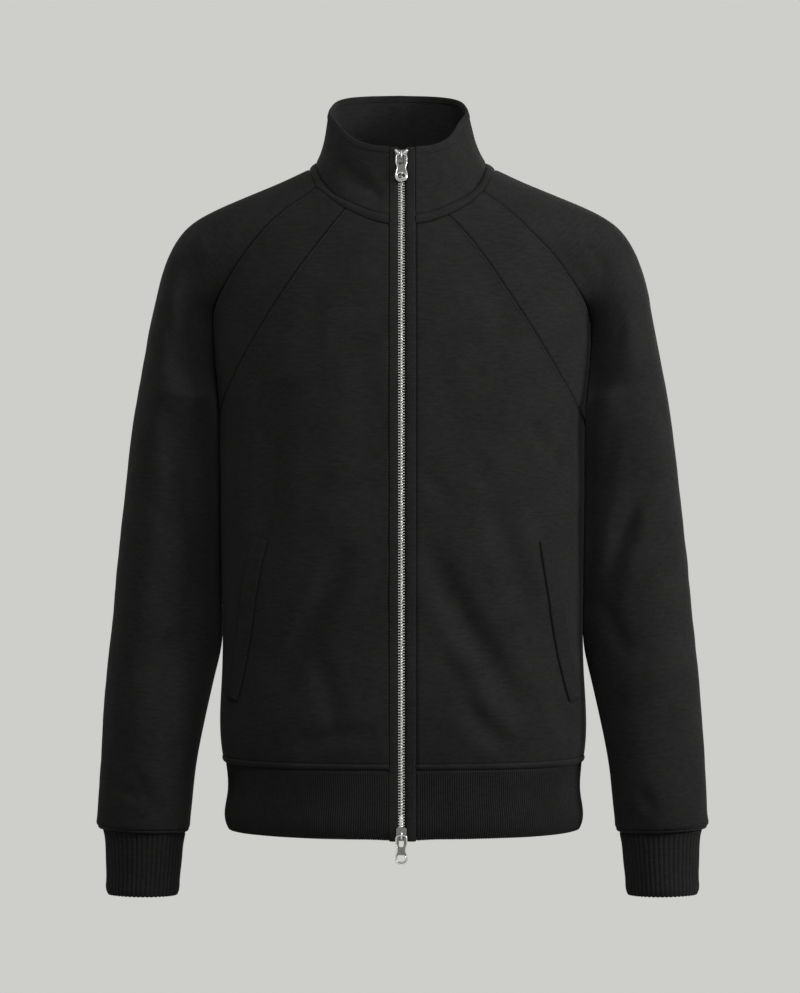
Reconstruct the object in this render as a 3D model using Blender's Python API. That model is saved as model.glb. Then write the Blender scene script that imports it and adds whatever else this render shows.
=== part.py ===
"""Zip-up sweatshirt with raglan sleeves, a stand collar and a two-way zip, standing in its worn form.

Millimetres in the tables, metres in the meshes. The origin is the middle of the neck opening at
shoulder height. The front faces -Y, +Z is up and +X is the wearer's left.

The body is a form of rings, closed over the shoulders by a crest. Panels are patches of that form,
cut along its seam lines. A sleeve is a row of arcs from the front seam over its crest to the back
seam, and of closed rings below the underarm. Each piece is a wall of its cloth's thickness.
"""

import math
from collections import namedtuple

import bmesh
import bpy
import numpy as np

MM = 0.001
WELD = 0.01

# cloth and trim thicknesses, and the play left between sewn pieces
FLEECE = 2.4
RIB_KNIT = 2.8
COLLAR_CLOTH = 3.0
BAND_CLOTH = 2.4
TAPE = 0.8
WELT_CLOTH = 1.8
SEAM_GAP = 0.32
INNER_SLOPE = 0.4

# how finely each piece is divided
SIDE_ROWS = 16
CAP_ROWS = 12
FRONT_COLUMNS = 11
YOKE_COLUMNS = 4
BACK_COLUMNS = 9
SLEEVE_COLUMNS = 10
NECK_COLUMNS = 25
HEM_COLUMNS = 12
CUFF_COLUMNS = 12
COLLAR_ROWS = 4
WELT_ROWS = 10
WELT_COLUMNS = 5
SLEEVE_RING_HEIGHTS = (-215, -232, -252, -278, -306, -336, -366, -396, -426, -456, -490, -524,
                       -558, -592, -622, -639, -650, -653.6)
CUFF_RING_HEIGHTS = (-653.6, -664, -685, -706, -714.4, -718.4)
HEM_HEIGHTS = (-655.0, -651.0, -628.0, -606.0)

# how finely curves are followed before a piece is cut along them
TURN_SAMPLES = 1441
SEAM_SAMPLES = 400
NECK_SAMPLES = 40

# an edge of a solid sharper than this keeps a crease
CREASE_ANGLE = math.radians(50)

# ---------------------------------------------------------------- body form

# rings by height, with their half width, their depths to the front and back, and a sideways shift
BodyRing = namedtuple("BodyRing", "height width front back shift")
BODY = (
    BodyRing(-588, 179.3, 127.3, 107.5, 1.0),
    BodyRing(-571, 181.6, 131.0, 111.5, 0.8),
    BodyRing(-500, 180.5, 131.0, 112.0, 0.4),
    BodyRing(-400, 180.5, 130.0, 108.5, 0.0),
    BodyRing(-300, 181.5, 129.0, 110.5, 0.0),
    BodyRing(-235, 183.0, 128.0, 115.0, 0.0),
    BodyRing(-190, 187.0, 128.0, 117.0, 0.0),
    BodyRing(-141, 191.5, 128.0, 118.0, 0.0),
    BodyRing(-80, 201.0, 128.0, 118.0, 0.0),
    BodyRing(-20, 210.0, 128.0, 118.0, 0.0),
    BodyRing(40, 216.0, 128.0, 118.0, 0.0),
)
RIB = (
    BodyRing(-655.0, 174.6, 124.2, 105.0, 1.4),
    BodyRing(-651.0, 176.6, 126.0, 106.8, 1.4),
    BodyRing(-620, 176.0, 126.2, 106.6, 1.6),
    BodyRing(-588, 177.4, 127.0, 107.2, 1.2),
)
Crest = namedtuple("Crest", "across front back")
CREST = (
    Crest(0, 36, 62),
    Crest(42, 25, 50),
    Crest(78, 8, 24),
    Crest(124, -12, -10),
    Crest(156, -26, -24),
    Crest(190, -42, -40),
    Crest(215, -58, -56),
)
# the level outline is a squarish oval, and girth is shared out along one of these half sizes
SQUARENESS = 2.4
GIRTH_WIDTH = 182.0
GIRTH_DEPTH = 129.0
# over the shoulders the form closes from its base height to its crest
SHOULDER_DEPTH = 5.0
FORM_BASE = -235.0
ROUNDING = {"front": 2.15, "back": 2.6}
FACING = {"front": -1.0, "back": 1.0}

# ---------------------------------------------------------------- seam lines

Seam = namedtuple("Seam", "height turn")
YOKE_SEAM = (
    Seam(-248, 90), Seam(-231, 73.5), Seam(-203, 57), Seam(-177, 46.5), Seam(-153, 39),
    Seam(-121, 30), Seam(-95, 23), Seam(-66, 16), Seam(-46.5, 10.9),
)
RAGLAN_FRONT = (
    Seam(-228, 90), Seam(-205, 87.5), Seam(-175, 84), Seam(-148, 78), Seam(-128, 67),
    Seam(-108.5, 56), Seam(-84.5, 45.7), Seam(-67, 38), Seam(-47.5, 30.8), Seam(-33, 24.3),
    Seam(-25, 18),
)
RAGLAN_BACK = (
    Seam(-228, 90), Seam(-200, 87), Seam(-170, 83), Seam(-142, 75), Seam(-115, 62), Seam(-88, 50),
    Seam(-62, 39.5), Seam(-38, 30.5), Seam(-12, 22.4), Seam(9, 15.8),
)
NeckEdge = namedtuple("NeckEdge", "across height")
NECK_FRONT = (
    NeckEdge(0, -61), NeckEdge(20, -59), NeckEdge(36, -54), NeckEdge(51.4, -46.5),
    NeckEdge(66, -37), NeckEdge(79, -25),
)
NECK_BACK = (NeckEdge(0, 13), NeckEdge(30, 12.8), NeckEdge(55, 11.6), NeckEdge(72, 9))
HEM_SEAM = -588.0
PANEL_START = 13.2
YOKE_AT_NECK = 51.4
RAGLAN_AT_NECK = {"front": 79.0, "back": 72.0}

# ---------------------------------------------------------------- sleeves and cuffs

# share runs up the raglan seam, from the underarm (0) to the neck (1); wrap is how far the arc turns
Cap = namedtuple("Cap", "share out height front back wrap")
CAP = (
    Cap(0.000, 263.6, -215.0, 70, 72, 180),
    Cap(0.099, 257.0, -180.0, 69, 71, 166),
    Cap(0.224, 249.0, -140.0, 67, 70, 152),
    Cap(0.339, 242.0, -108.0, 65, 68, 138),
    Cap(0.424, 233.0, -83.0, 63, 67, 125),
    Cap(0.513, 221.0, -63.0, 62, 67, 113),
    Cap(0.625, 202.0, -46.5, 61, 66, 100),
    Cap(0.715, 180.0, -35.3, 60, 66, 90),
    Cap(0.816, 151.0, -23.0, 58, 62, 82),
    Cap(0.908, 122.5, -11.0, 57, 59, 76),
    Cap(1.000, 93.0, 2.5, 56, 55, 72),
)
CREST_DEPTH = 4.0
# a ring of the arm: its outer and inner points seen from the front, its half depth, and how far
# forward or back its outer point (centre) and its inner point (sway) lie
ArmRing = namedtuple("ArmRing", "out height inner low depth centre sway")
ARM = (
    ArmRing(263.6, -215.0, 183.9, -228.0, 71.0, 4.0, 0.0),
    ArmRing(267.4, -240.0, 182.8, -252.0, 71.5, 3.0, -21.0),
    ArmRing(273.8, -290.0, 179.3, -301.0, 69.0, 1.0, -43.0),
    ArmRing(278.8, -340.0, 178.5, -351.0, 66.0, -2.0, -48.0),
    ArmRing(283.9, -390.0, 178.0, -401.0, 62.0, -6.0, -48.0),
    ArmRing(288.2, -440.0, 178.6, -450.0, 58.0, -10.0, -45.0),
    ArmRing(293.2, -490.0, 187.4, -499.0, 53.5, -15.0, -40.0),
    ArmRing(297.2, -540.0, 197.4, -548.0, 49.5, -19.0, -36.0),
    ArmRing(299.7, -588.0, 204.9, -595.0, 46.0, -23.0, -32.0),
    ArmRing(301.5, -627.5, 209.0, -633.4, 43.5, -25.0, -30.0),
    ArmRing(302.6, -642.8, 210.5, -647.4, 42.3, -25.6, -28.3),
    ArmRing(301.6, -650.0, 212.2, -653.8, 39.6, -26.0, -28.2),
    ArmRing(297.4, -653.6, 215.2, -656.8, 35.2, -26.0, -28.0),
)
CUFF = (
    ArmRing(297.4, -653.6, 215.2, -656.8, 35.2, -26.0, -28.0),
    ArmRing(296.0, -657.5, 215.8, -660.2, 33.6, -26.3, -28.2),
    ArmRing(294.8, -664.0, 217.0, -666.0, 32.4, -26.8, -28.5),
    ArmRing(293.6, -685.0, 219.0, -686.0, 31.0, -28.2, -29.5),
    ArmRing(293.2, -706.0, 221.0, -706.6, 30.0, -29.8, -30.5),
    ArmRing(292.8, -714.4, 221.9, -715.0, 29.4, -30.4, -31.0),
    ArmRing(290.8, -718.4, 223.6, -718.8, 27.8, -30.5, -31.0),
)

# ---------------------------------------------------------------- neck

# rings round the neck by the angle from the front, with their radius and height
NeckRing = namedtuple("NeckRing", "angle radius height")
COLLAR_SEAM = (
    NeckRing(0, 98.0, -54), NeckRing(10, 98.5, -50), NeckRing(16, 98.8, -48),
    NeckRing(28, 98.4, -40), NeckRing(39, 98.0, -32), NeckRing(51, 94.5, -21),
    NeckRing(59, 92.4, -12), NeckRing(73, 87.6, 1), NeckRing(92, 85.6, 9),
    NeckRing(119, 88.4, 14.5), NeckRing(146, 84.0, 19.5), NeckRing(180, 78.5, 22),
)
COLLAR_TOP = (
    NeckRing(0, 76.0, 16), NeckRing(27, 76.0, 20), NeckRing(43, 73.0, 30), NeckRing(62, 68.0, 46),
    NeckRing(86, 69.0, 59.5), NeckRing(98, 67.6, 66.3), NeckRing(109, 68.6, 71),
    NeckRing(120, 69.5, 75), NeckRing(135, 69.8, 79), NeckRing(156, 68.5, 82), NeckRing(180, 66.0, 83),
)
COLLAR_WAIST = 3.0
COLLAR_WAIST_RISE = 0.7
COLLAR_LEAN = -4.5
NECK_BAND_CROWN = 0.8

# ---------------------------------------------------------------- zip

ZIP_CENTRE = -1.2
CHAIN_HALF = 3.2
CHAIN_FRONT = -0.2
CHAIN_BACK = 2.2
BAND_INNER = {"right": 4.9, "left": 4.6}
BAND_OUTER = PANEL_START - SEAM_GAP
TAPE_INNER = 1.6
TAPE_DEPTH = BAND_CLOTH + 0.3
ZIP_FOOT = -657.0
STRAIGHT_FOOT = -640.0
ZIP_HEAD = 15.6
ZIP_SMOOTHING = 4.0
CHAIN_IN_SLIDER = 0.5
CHAIN_ROW_ROOM = 3.5
ZIP_ROWS = (-640, -618, -592, -584, -571, -545, -500, -450, -400, -350, -300, -255, -225, -200,
            -175, -150, -125, -102, -81, -61, -54, -38, -22, -6, 5)
SLIDER_TOP_HEIGHT = 7.0
SLIDER_BOTTOM_HEIGHT = -648.6

Outline = namedtuple("Outline", "along half")
SLIDER_PLATE = (
    Outline(-6.5, 3.4), Outline(-5.4, 4.9), Outline(0.5, 4.9), Outline(3.2, 5.9),
    Outline(5.4, 5.9), Outline(6.5, 4.4),
)
PLATE_FRONT = (-2.0, -0.6)
PLATE_BACK = (3.9, 5.1)
NECK_HALF = 1.1
NECK_SPAN = (2.2, 5.4)
NECK_OVERLAP = 0.4
CROWN_WIRE = 0.75
CROWN_FACETS = 2
Crown = namedtuple("Crown", "along out")
CROWN = (
    Crown(4.4, 1.4), Crown(4.2, 3.6), Crown(2.6, 4.9), Crown(0.2, 5.0), Crown(-1.9, 4.2),
    Crown(-2.7, 2.6), Crown(-2.8, 1.4),
)
PULL_PIVOT_OUT = 3.25
PULL_PIVOT_ALONG = 1.2
PULL_THICK = 1.1
PULL_OUTLINE = (
    Outline(-0.65, 4.0), Outline(0.3, 5.2), Outline(2.0, 5.7), Outline(8.5, 5.7),
    Outline(11.5, 4.6), Outline(14.5, 4.35), Outline(17.0, 5.2), Outline(19.5, 5.95),
    Outline(24.0, 5.95), Outline(26.4, 4.7), Outline(27.6, 2.2),
)
PULL_SLOT = (Outline(0.65, 2.3), Outline(9.6, 2.3), Outline(11.0, 1.2))
PULL_EYE = (
    Outline(19.0, 2.0), Outline(20.0, 3.4), Outline(22.2, 3.8), Outline(24.0, 3.2),
    Outline(24.9, 1.6),
)

# ---------------------------------------------------------------- pockets and folds

Welt = namedtuple("Welt", "across height")
WELT_LINE = (Welt(139.0, -366), Welt(147.5, -420), Welt(157.0, -474), Welt(167.0, -522))
WELT_HALF = 8.5
QUARTER_GIRTH = 250.0
WELT_TILT = math.radians(16)
WELT_LIFT = 0.55

# a fold runs from head to foot, bowed sideways, with its half width and its depth (minus is a ridge)
Fold = namedtuple("Fold", "place x_head z_head x_foot z_foot bow width depth")
FOLDS = (
    Fold("front", -114, -212, -135, -386, -6, 14, 4.5),
    Fold("front", -54, -371, -122, -511, 4, 14, 4.0),
    Fold("front", 20, -366, 124, -540, -6, 15, 5.0),
    Fold("front", 85, -328, 124, -434, 0, 14, 2.6),
    Fold("front", 51, -520, 104, -568, 0, 12, 3.6),
    Fold("front", -104, -566, -26, -550, 3, 11, 2.6),
    Fold("back", -62, -210, -118, -420, -8, 17, 4.5),
    Fold("back", 58, -236, 126, -452, 8, 17, 4.8),
    Fold("back", -20, -400, -96, -546, 4, 15, 3.6),
    Fold("back", 30, -430, 92, -556, -4, 15, 3.4),
    Fold("sleeve_right_front", -206, -112, -190, -230, -7, 12, 4.5),
    Fold("sleeve_right_front", -237, -131, -219, -214, 0, 13, 3.2),
    Fold("sleeve_right_front", -236, -236, -202, -430, 6, 14, 4.0),
    Fold("sleeve_right_back", -244, -190, -212, -400, 5, 15, 4.2),
    Fold("sleeve_right_back", -206, -420, -262, -470, 6, 13, 3.6),
    Fold("sleeve_left_front", 247, -310, 200, -438, -12, 13, 4.6),
    Fold("sleeve_left_front", 200, -452, 236, -468, 3, 11, 3.0),
    Fold("sleeve_left_front", 220, -142, 196, -222, 6, 12, 3.6),
    Fold("sleeve_left_back", 246, -200, 210, -392, -6, 15, 4.2),
    Fold("sleeve_left_back", 206, -430, 262, -474, -5, 13, 3.4),
)
# a fold's ends rise by this power of a half wave; its trough is a bell with low banks beside it
FOLD_ENDS = 0.6
FOLD_BANKS = 0.6
FOLD_SPREAD = 1.2
# folds fade out toward the side seams, and toward a sleeve's seams and crest
SIDE_FADE = 0.42
SLEEVE_FADE = 0.7

# colours as the shader takes them, with roughness and metallic value
Finish = namedtuple("Finish", "red green blue rough metal")
FINISHES = {
    "fleece": Finish(0.024, 0.024, 0.025, 0.92, 0.0),
    "rib": Finish(0.022, 0.022, 0.023, 0.94, 0.0),
    "tape": Finish(0.018, 0.018, 0.019, 0.85, 0.0),
    "metal": Finish(0.62, 0.61, 0.59, 0.28, 1.0),
}


# ---------------------------------------------------------------- curves and tables

def column(table, name):
    """One named column of a table."""
    return np.array([getattr(row, name) for row in table], float)


def smooth(xs, ys, at):
    """Natural cubic spline through the points (xs, ys), read at the values of at."""
    gaps = np.diff(xs)
    slopes = np.diff(ys) / gaps
    count = len(xs)
    system = np.eye(count)
    right = np.zeros(count)
    for i in range(1, count - 1):
        system[i, i - 1] = gaps[i - 1]
        system[i, i] = 2 * (gaps[i - 1] + gaps[i])
        system[i, i + 1] = gaps[i]
        right[i] = 6 * (slopes[i] - slopes[i - 1])
    bend = np.linalg.solve(system, right)
    at = np.clip(np.asarray(at, float), xs[0], xs[-1])
    i = np.clip(np.searchsorted(xs, at) - 1, 0, count - 2)
    a = (xs[i + 1] - at) / gaps[i]
    b = 1 - a
    cubic = ((a ** 3 - a) * bend[i] + (b ** 3 - b) * bend[i + 1]) * gaps[i] ** 2 / 6
    return a * ys[i] + b * ys[i + 1] + cubic


def read(table, key, name, at):
    """A named column as a smooth function of the key column."""
    return smooth(column(table, key), column(table, name), at)


def unit(v):
    """Vectors of length 1."""
    return v / np.maximum(np.linalg.norm(v, axis=-1, keepdims=True), 1e-9)


def stack(x, y, z):
    """Points from their coordinates, of any shape that goes together."""
    return np.stack(np.broadcast_arrays(x, y, z), axis=-1).astype(float)


def shares_along(points):
    """The share of the length of a line at each of its points."""
    steps = np.linalg.norm(np.diff(points, axis=0), axis=1)
    length = np.concatenate([[0.0], np.cumsum(steps)])
    return length / length[-1]


# ---------------------------------------------------------------- folds

def fold_depth(place, x, z):
    """How far the folds of a place move its cloth out (minus is in) at points seen from the front."""
    total = np.zeros(np.broadcast(x, z).shape)
    for fold in FOLDS:
        if fold.place != place:
            continue
        run = np.array([fold.x_foot - fold.x_head, fold.z_foot - fold.z_head])
        length = np.linalg.norm(run)
        ahead = run / length
        along = ((x - fold.x_head) * ahead[0] + (z - fold.z_head) * ahead[1]) / length
        inside = np.clip(along, 0, 1)
        aside = (x - fold.x_head) * -ahead[1] + (z - fold.z_head) * ahead[0]
        offset = (aside - fold.bow * 4 * inside * (1 - inside)) / fold.width
        ends = np.sin(math.pi * inside) ** FOLD_ENDS * ((along > 0) & (along < 1))
        bell = (1 - FOLD_BANKS * offset ** 2) * np.exp(-offset ** 2 / FOLD_SPREAD)
        total -= fold.depth * ends * bell
    return total


# ---------------------------------------------------------------- body form

def girth_scale():
    """Turn from the centre line against the share of the way round to the side seam."""
    turns = np.linspace(0, math.pi / 2, TURN_SAMPLES)
    outline = stack(
        GIRTH_WIDTH * np.sin(turns) ** (2 / SQUARENESS),
        GIRTH_DEPTH * np.cos(turns) ** (2 / SQUARENESS), 0)
    return turns, shares_along(outline)


TURNS, GIRTH_SHARES = girth_scale()


def share_of_turn(degrees):
    """Share of the way round to the side seam at a turn from the centre line."""
    return np.interp(np.radians(degrees), TURNS, GIRTH_SHARES)


def share_of_across(across, height):
    """Share of the way round at a distance from the middle of the garment."""
    ratio = across / read(BODY, "height", "width", height)
    turn = np.arcsin(np.clip(ratio, 0, 1) ** (SQUARENESS / 2))
    return np.interp(turn, TURNS, GIRTH_SHARES)


def body_point(share, height, face):
    """The body form at a share round to the side (minus is the wearer's right) and a height."""
    share, height = np.broadcast_arrays(np.asarray(share, float), np.asarray(height, float))
    side = np.where(share < 0, -1.0, 1.0)
    turn = np.interp(np.abs(share), GIRTH_SHARES, TURNS)
    across = np.sin(turn) ** (2 / SQUARENESS)
    ahead = np.maximum(np.cos(turn), 0) ** (2 / SQUARENESS)
    width = read(BODY, "height", "width", height)
    depth = read(BODY, "height", face, height)
    top = read(CREST, "across", face, width * across)
    rise = np.clip((height - FORM_BASE) / (top - FORM_BASE), 0, 1)
    power = ROUNDING[face]
    fullness = (1 - rise ** power) ** (1 / power)
    x = side * width * across + read(BODY, "height", "shift", height)
    y = SHOULDER_DEPTH + (FACING[face] * depth * ahead - SHOULDER_DEPTH) * fullness
    outward = unit(stack(
        side * across ** (SQUARENESS - 1) / width,
        FACING[face] * ahead ** (SQUARENESS - 1) / depth, 0))
    fade = np.clip(ahead / SIDE_FADE, 0, 1) ** 2
    lift = fold_depth(face, x, height) * fade
    return stack(x, y, height) + outward * lift[..., None]


def seam_samples(seam, face, shares):
    """Girth shares and heights of a seam at even shares of its length, from its foot up."""
    heights = np.linspace(seam[0].height, seam[-1].height, SEAM_SAMPLES)
    rounds = share_of_turn(read(seam, "height", "turn", heights))
    lengths = shares_along(body_point(rounds, heights, face))
    return np.interp(shares, lengths, rounds), np.interp(shares, lengths, heights)


def neck_samples(face, start, end, count):
    """Girth shares and heights along the neck edge of a face."""
    table = NECK_FRONT if face == "front" else NECK_BACK
    across = np.linspace(start, end, count)
    heights = read(table, "across", "height", across)
    return share_of_across(across, heights), heights


def patch(left, right, bottom, top, rises):
    """Coons patch between four edges given in girth share and height."""
    u = np.linspace(0, 1, len(bottom[0]))[None, :]
    v = rises[:, None]
    grids = []
    for axis in (0, 1):
        sides = (1 - u) * left[axis][:, None] + u * right[axis][:, None]
        ends = (1 - v) * bottom[axis][None, :] + v * top[axis][None, :]
        corners = ((1 - u) * (1 - v) * bottom[axis][0] + u * (1 - v) * bottom[axis][-1]
                   + (1 - u) * v * top[axis][0] + u * v * top[axis][-1])
        grids.append(sides + ends - corners)
    return grids


CAP_SHARES = np.linspace(0, 1, CAP_ROWS + 1)
SIDE_HEIGHTS = np.linspace(HEM_SEAM, YOKE_SEAM[0].height, SIDE_ROWS + 1)


def front_patch():
    """Girth shares and heights of a front panel, rows from the hem up, columns from the zip."""
    seam = seam_samples(YOKE_SEAM, "front", CAP_SHARES)
    right_heights = np.concatenate([SIDE_HEIGHTS, seam[1][1:]])
    right_rounds = np.concatenate([np.ones(SIDE_ROWS + 1), seam[0][1:]])
    top = neck_samples("front", PANEL_START, YOKE_AT_NECK, FRONT_COLUMNS + 1)
    rises = (right_heights - HEM_SEAM) / (right_heights[-1] - HEM_SEAM)
    left_heights = HEM_SEAM + rises * (top[1][0] - HEM_SEAM)
    left_rounds = share_of_across(PANEL_START, left_heights)
    bottom_rounds = np.linspace(left_rounds[0], 1, FRONT_COLUMNS + 1)
    bottom = (bottom_rounds, np.full(FRONT_COLUMNS + 1, HEM_SEAM))
    return patch((left_rounds, left_heights), (right_rounds, right_heights), bottom, top, rises)


def yoke_patch():
    """Girth shares and heights of a shoulder wedge, rows from the side up."""
    left = seam_samples(YOKE_SEAM, "front", CAP_SHARES)
    right = seam_samples(RAGLAN_FRONT, "front", CAP_SHARES)
    low, high = YOKE_SEAM[0].height, RAGLAN_FRONT[0].height
    bottom = (np.ones(YOKE_COLUMNS + 1), np.linspace(low, high, YOKE_COLUMNS + 1))
    top = neck_samples("front", YOKE_AT_NECK, RAGLAN_AT_NECK["front"], YOKE_COLUMNS + 1)
    return patch(left, right, bottom, top, CAP_SHARES)


def back_patch():
    """Girth shares and heights of the whole back, columns from the wearer's right to the left."""
    seam = seam_samples(RAGLAN_BACK, "back", CAP_SHARES)
    right_heights = np.concatenate([SIDE_HEIGHTS, seam[1]])
    right_rounds = np.concatenate([np.ones(SIDE_ROWS + 1), seam[0]])
    top = neck_samples("back", 0, RAGLAN_AT_NECK["back"], BACK_COLUMNS + 1)
    rises = (right_heights - HEM_SEAM) / (right_heights[-1] - HEM_SEAM)
    left_heights = HEM_SEAM + rises * (top[1][0] - HEM_SEAM)
    left = (np.zeros(len(rises)), left_heights)
    bottom = (np.linspace(0, 1, BACK_COLUMNS + 1), np.full(BACK_COLUMNS + 1, HEM_SEAM))
    rounds, heights = patch(left, (right_rounds, right_heights), bottom, top, rises)
    rounds = np.concatenate([-rounds[:, :0:-1], rounds], axis=1)
    heights = np.concatenate([heights[:, :0:-1], heights], axis=1)
    return rounds, heights


# ---------------------------------------------------------------- sleeve form

def arm_arc(top, end, top_depth, end_depth, bulge, wrap, turns, facing):
    """Half a sleeve ring: from its outer point over the front or back to its inner point."""
    swing = turns * wrap
    blend = ((1 - np.cos(swing)) / (1 - np.cos(wrap)))[..., None]
    across = top + (end - top) * blend
    close = (end_depth - top_depth) - facing * bulge * np.sin(wrap)
    y = top_depth + facing * bulge * np.sin(swing) + close * blend[..., 0]
    return stack(across[..., 0], y, across[..., 1])


def sleeve_rows(side):
    """Outer points of a sleeve, rows from the neck down, columns from front seam to back seam."""
    turns = np.linspace(1, 0, SLEEVE_COLUMNS + 1)
    rows = []
    seams = {}
    for face, seam in (("front", RAGLAN_FRONT), ("back", RAGLAN_BACK)):
        rounds, heights = seam_samples(seam, face, CAP_SHARES)
        seams[face] = body_point(side * rounds, heights, face)
    for i in range(CAP_ROWS, 0, -1):
        share = CAP_SHARES[i]
        top = np.array([side * read(CAP, "share", "out", share),
                        read(CAP, "share", "height", share)])
        wrap = math.radians(float(read(CAP, "share", "wrap", share)))
        halves = {}
        for face in ("front", "back"):
            end = seams[face][i]
            halves[face] = arm_arc(top, end[[0, 2]], CREST_DEPTH, end[1],
                                   read(CAP, "share", face, share), wrap, turns, FACING[face])
        rows.append(np.concatenate([halves["front"], halves["back"][-2::-1]]))
    for ring in arm_rings(ARM, SLEEVE_RING_HEIGHTS):
        rows.append(ring_points(ring, side, turns))
    grid = np.array(rows)
    return sleeve_folds(grid, side)


def arm_rings(table, heights):
    """Rings of a table at chosen heights of their outer points."""
    keys = -column(table, "height")
    names = ArmRing._fields
    values = {name: smooth(keys, column(table, name), -np.asarray(heights, float))
              for name in names}
    return [ArmRing(*(values[name][i] for name in names)) for i in range(len(heights))]


def ring_points(ring, side, turns):
    """A closed ring from its inner point over the front, the outer point and the back."""
    top = np.array([side * ring.out, ring.height])
    end = np.array([side * ring.inner, ring.low])
    halves = [arm_arc(top, end, ring.centre, ring.sway, ring.depth, math.pi, turns, facing)
              for facing in (-1.0, 1.0)]
    return np.concatenate([halves[0], halves[1][-2::-1]])


def sleeve_folds(grid, side):
    """Sleeve points moved out and in by the folds, which fade at the seams and at the crest."""
    name = "sleeve_left_" if side > 0 else "sleeve_right_"
    columns = np.linspace(-1, 1, grid.shape[1])
    reach = np.sin(math.pi * np.abs(columns)) ** SLEEVE_FADE
    outward = unit(grid - grid.mean(axis=1, keepdims=True))
    outward[..., 2] = 0
    lift = np.zeros(grid.shape[:2])
    for face, chosen in (("front", columns < 0), ("back", columns > 0)):
        depth = fold_depth(name + face, grid[..., 0], grid[..., 2])
        lift += depth * chosen * reach
    return grid + outward * lift[..., None]


# ---------------------------------------------------------------- neck rings

def neck_ring(table, shares, side):
    """Points of a neck ring at shares of the way from the zip to the middle of the back."""
    angle = column(table, "angle")
    start = math.degrees(math.asin(PANEL_START / table[0].radius))
    turn = start + (180 - start) * shares
    radius = smooth(angle, column(table, "radius"), turn)
    height = smooth(angle, column(table, "height"), turn)
    radians = np.radians(turn)
    return stack(side * radius * np.sin(radians), -radius * np.cos(radians), height)


def panel_neck_line(side, shares):
    """The upper edge of the panels and the sleeve, at shares of the way to the middle back."""
    front = neck_samples("front", PANEL_START, RAGLAN_AT_NECK["front"], NECK_SAMPLES)
    back = neck_samples("back", RAGLAN_AT_NECK["back"], 0, NECK_SAMPLES)
    over = sleeve_rows(side)[0]
    line = np.concatenate([
        body_point(side * front[0], front[1], "front"), over[1:-1],
        body_point(side * back[0], back[1], "back")])
    angle = np.degrees(np.arctan2(np.abs(line[:, 0]), -line[:, 1]))
    start = angle[0]
    turn = start + (180 - start) * shares
    return stack(*(np.interp(turn, angle, line[:, axis]) for axis in range(3)))


def collar_waist(rise):
    """How far the collar draws in at a share of its height."""
    return COLLAR_WAIST * np.sin(math.pi * rise ** COLLAR_WAIST_RISE)


def both_sides(half):
    """A ring from the zip's right edge round the back to its left edge, from a half of each side."""
    shares = np.linspace(0, 1, NECK_COLUMNS + 1)
    right = half(shares, -1.0)
    left = half(shares, 1.0)
    return np.concatenate([right, left[-2::-1]])


# ---------------------------------------------------------------- walls

def grid_normals(grid, inside, closed=None):
    """Unit normals of a grid, pointing away from the inside points."""
    padded = np.concatenate([2 * grid[:, :1] - grid[:, 1:2], grid,
                             2 * grid[:, -1:] - grid[:, -2:-1]], axis=1)
    if closed is not None:
        padded[closed, 0] = grid[closed, -2]
        padded[closed, -1] = grid[closed, 1]
    across = padded[:, 2:] - padded[:, :-2]
    along = np.gradient(grid, axis=0)
    normal = unit(np.cross(across, along))
    if np.sum(normal * (grid - inside)) < 0:
        normal = -normal
    return normal


EDGES = {
    "first_column": (np.s_[:, 0], np.s_[:, 1]), "last_column": (np.s_[:, -1], np.s_[:, -2]),
    "first_row": (np.s_[0], np.s_[1]), "last_row": (np.s_[-1], np.s_[-2]),
}


def pull_in(grid, normal, edge, amount=SEAM_GAP / 2):
    """Move one edge of a grid into its piece, square to the edge."""
    at, beside = EDGES[edge]
    line = grid[at]
    inward = unit(np.cross(normal[at], np.gradient(line, axis=0)))
    facing = np.sign(np.sum(inward * (grid[beside] - line), axis=-1, keepdims=True))
    grid[at] = line + inward * facing * amount


def slope_inside(inner, edge):
    """Set the inner edge of a wall back a little, so that walls can meet at a ridge."""
    at, beside = EDGES[edge]
    inner[at] += unit(inner[beside] - inner[at]) * INNER_SLOPE


def trim_at_zip(outer, inner, columns):
    """Cut pieces straight beside the zip: end columns lie in planes across the garment."""
    for place in columns:
        side = np.sign(outer[0, place, 0])
        outer[:, place, 0] = side * PANEL_START
        inner[:, place, 0] = side * PANEL_START


def share_normals(first, second):
    """Give the two pieces at a smooth seam one direction of thickness, so that their ends match."""
    mean = unit(first + second)
    first[...] = mean
    second[...] = mean


# one piece's side of a seam: the points beside its edge, and the normals along the edge
SeamSide = namedtuple("SeamSide", "beside normal")


def part_seam(line, first, second, side):
    """Part two pieces of fleece that meet at an angle along a line, from the underarm up.

    The gap lies square to the plane between them. Returns the outer and inner edge points of each.
    """
    tangent = unit(np.gradient(line, axis=0))
    leaves = []
    for piece in (first, second):
        leaf = piece.beside - line
        leaves.append(unit(leaf - np.sum(leaf * tangent, axis=-1, keepdims=True) * tangent))
    across = leaves[1] - leaves[0]
    across[0] = (side, 0.0, 0.0)
    across = unit(across)
    edges = []
    for piece, sign in ((first, -1.0), (second, 1.0)):
        outer = line + sign * across * SEAM_GAP / 2
        inner = outer - FLEECE * piece.normal
        excess = sign * np.sum((inner - line) * across, axis=-1) - SEAM_GAP / 2
        edges.append((outer, inner - sign * across * np.minimum(excess, 0)[:, None]))
    return edges


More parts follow.
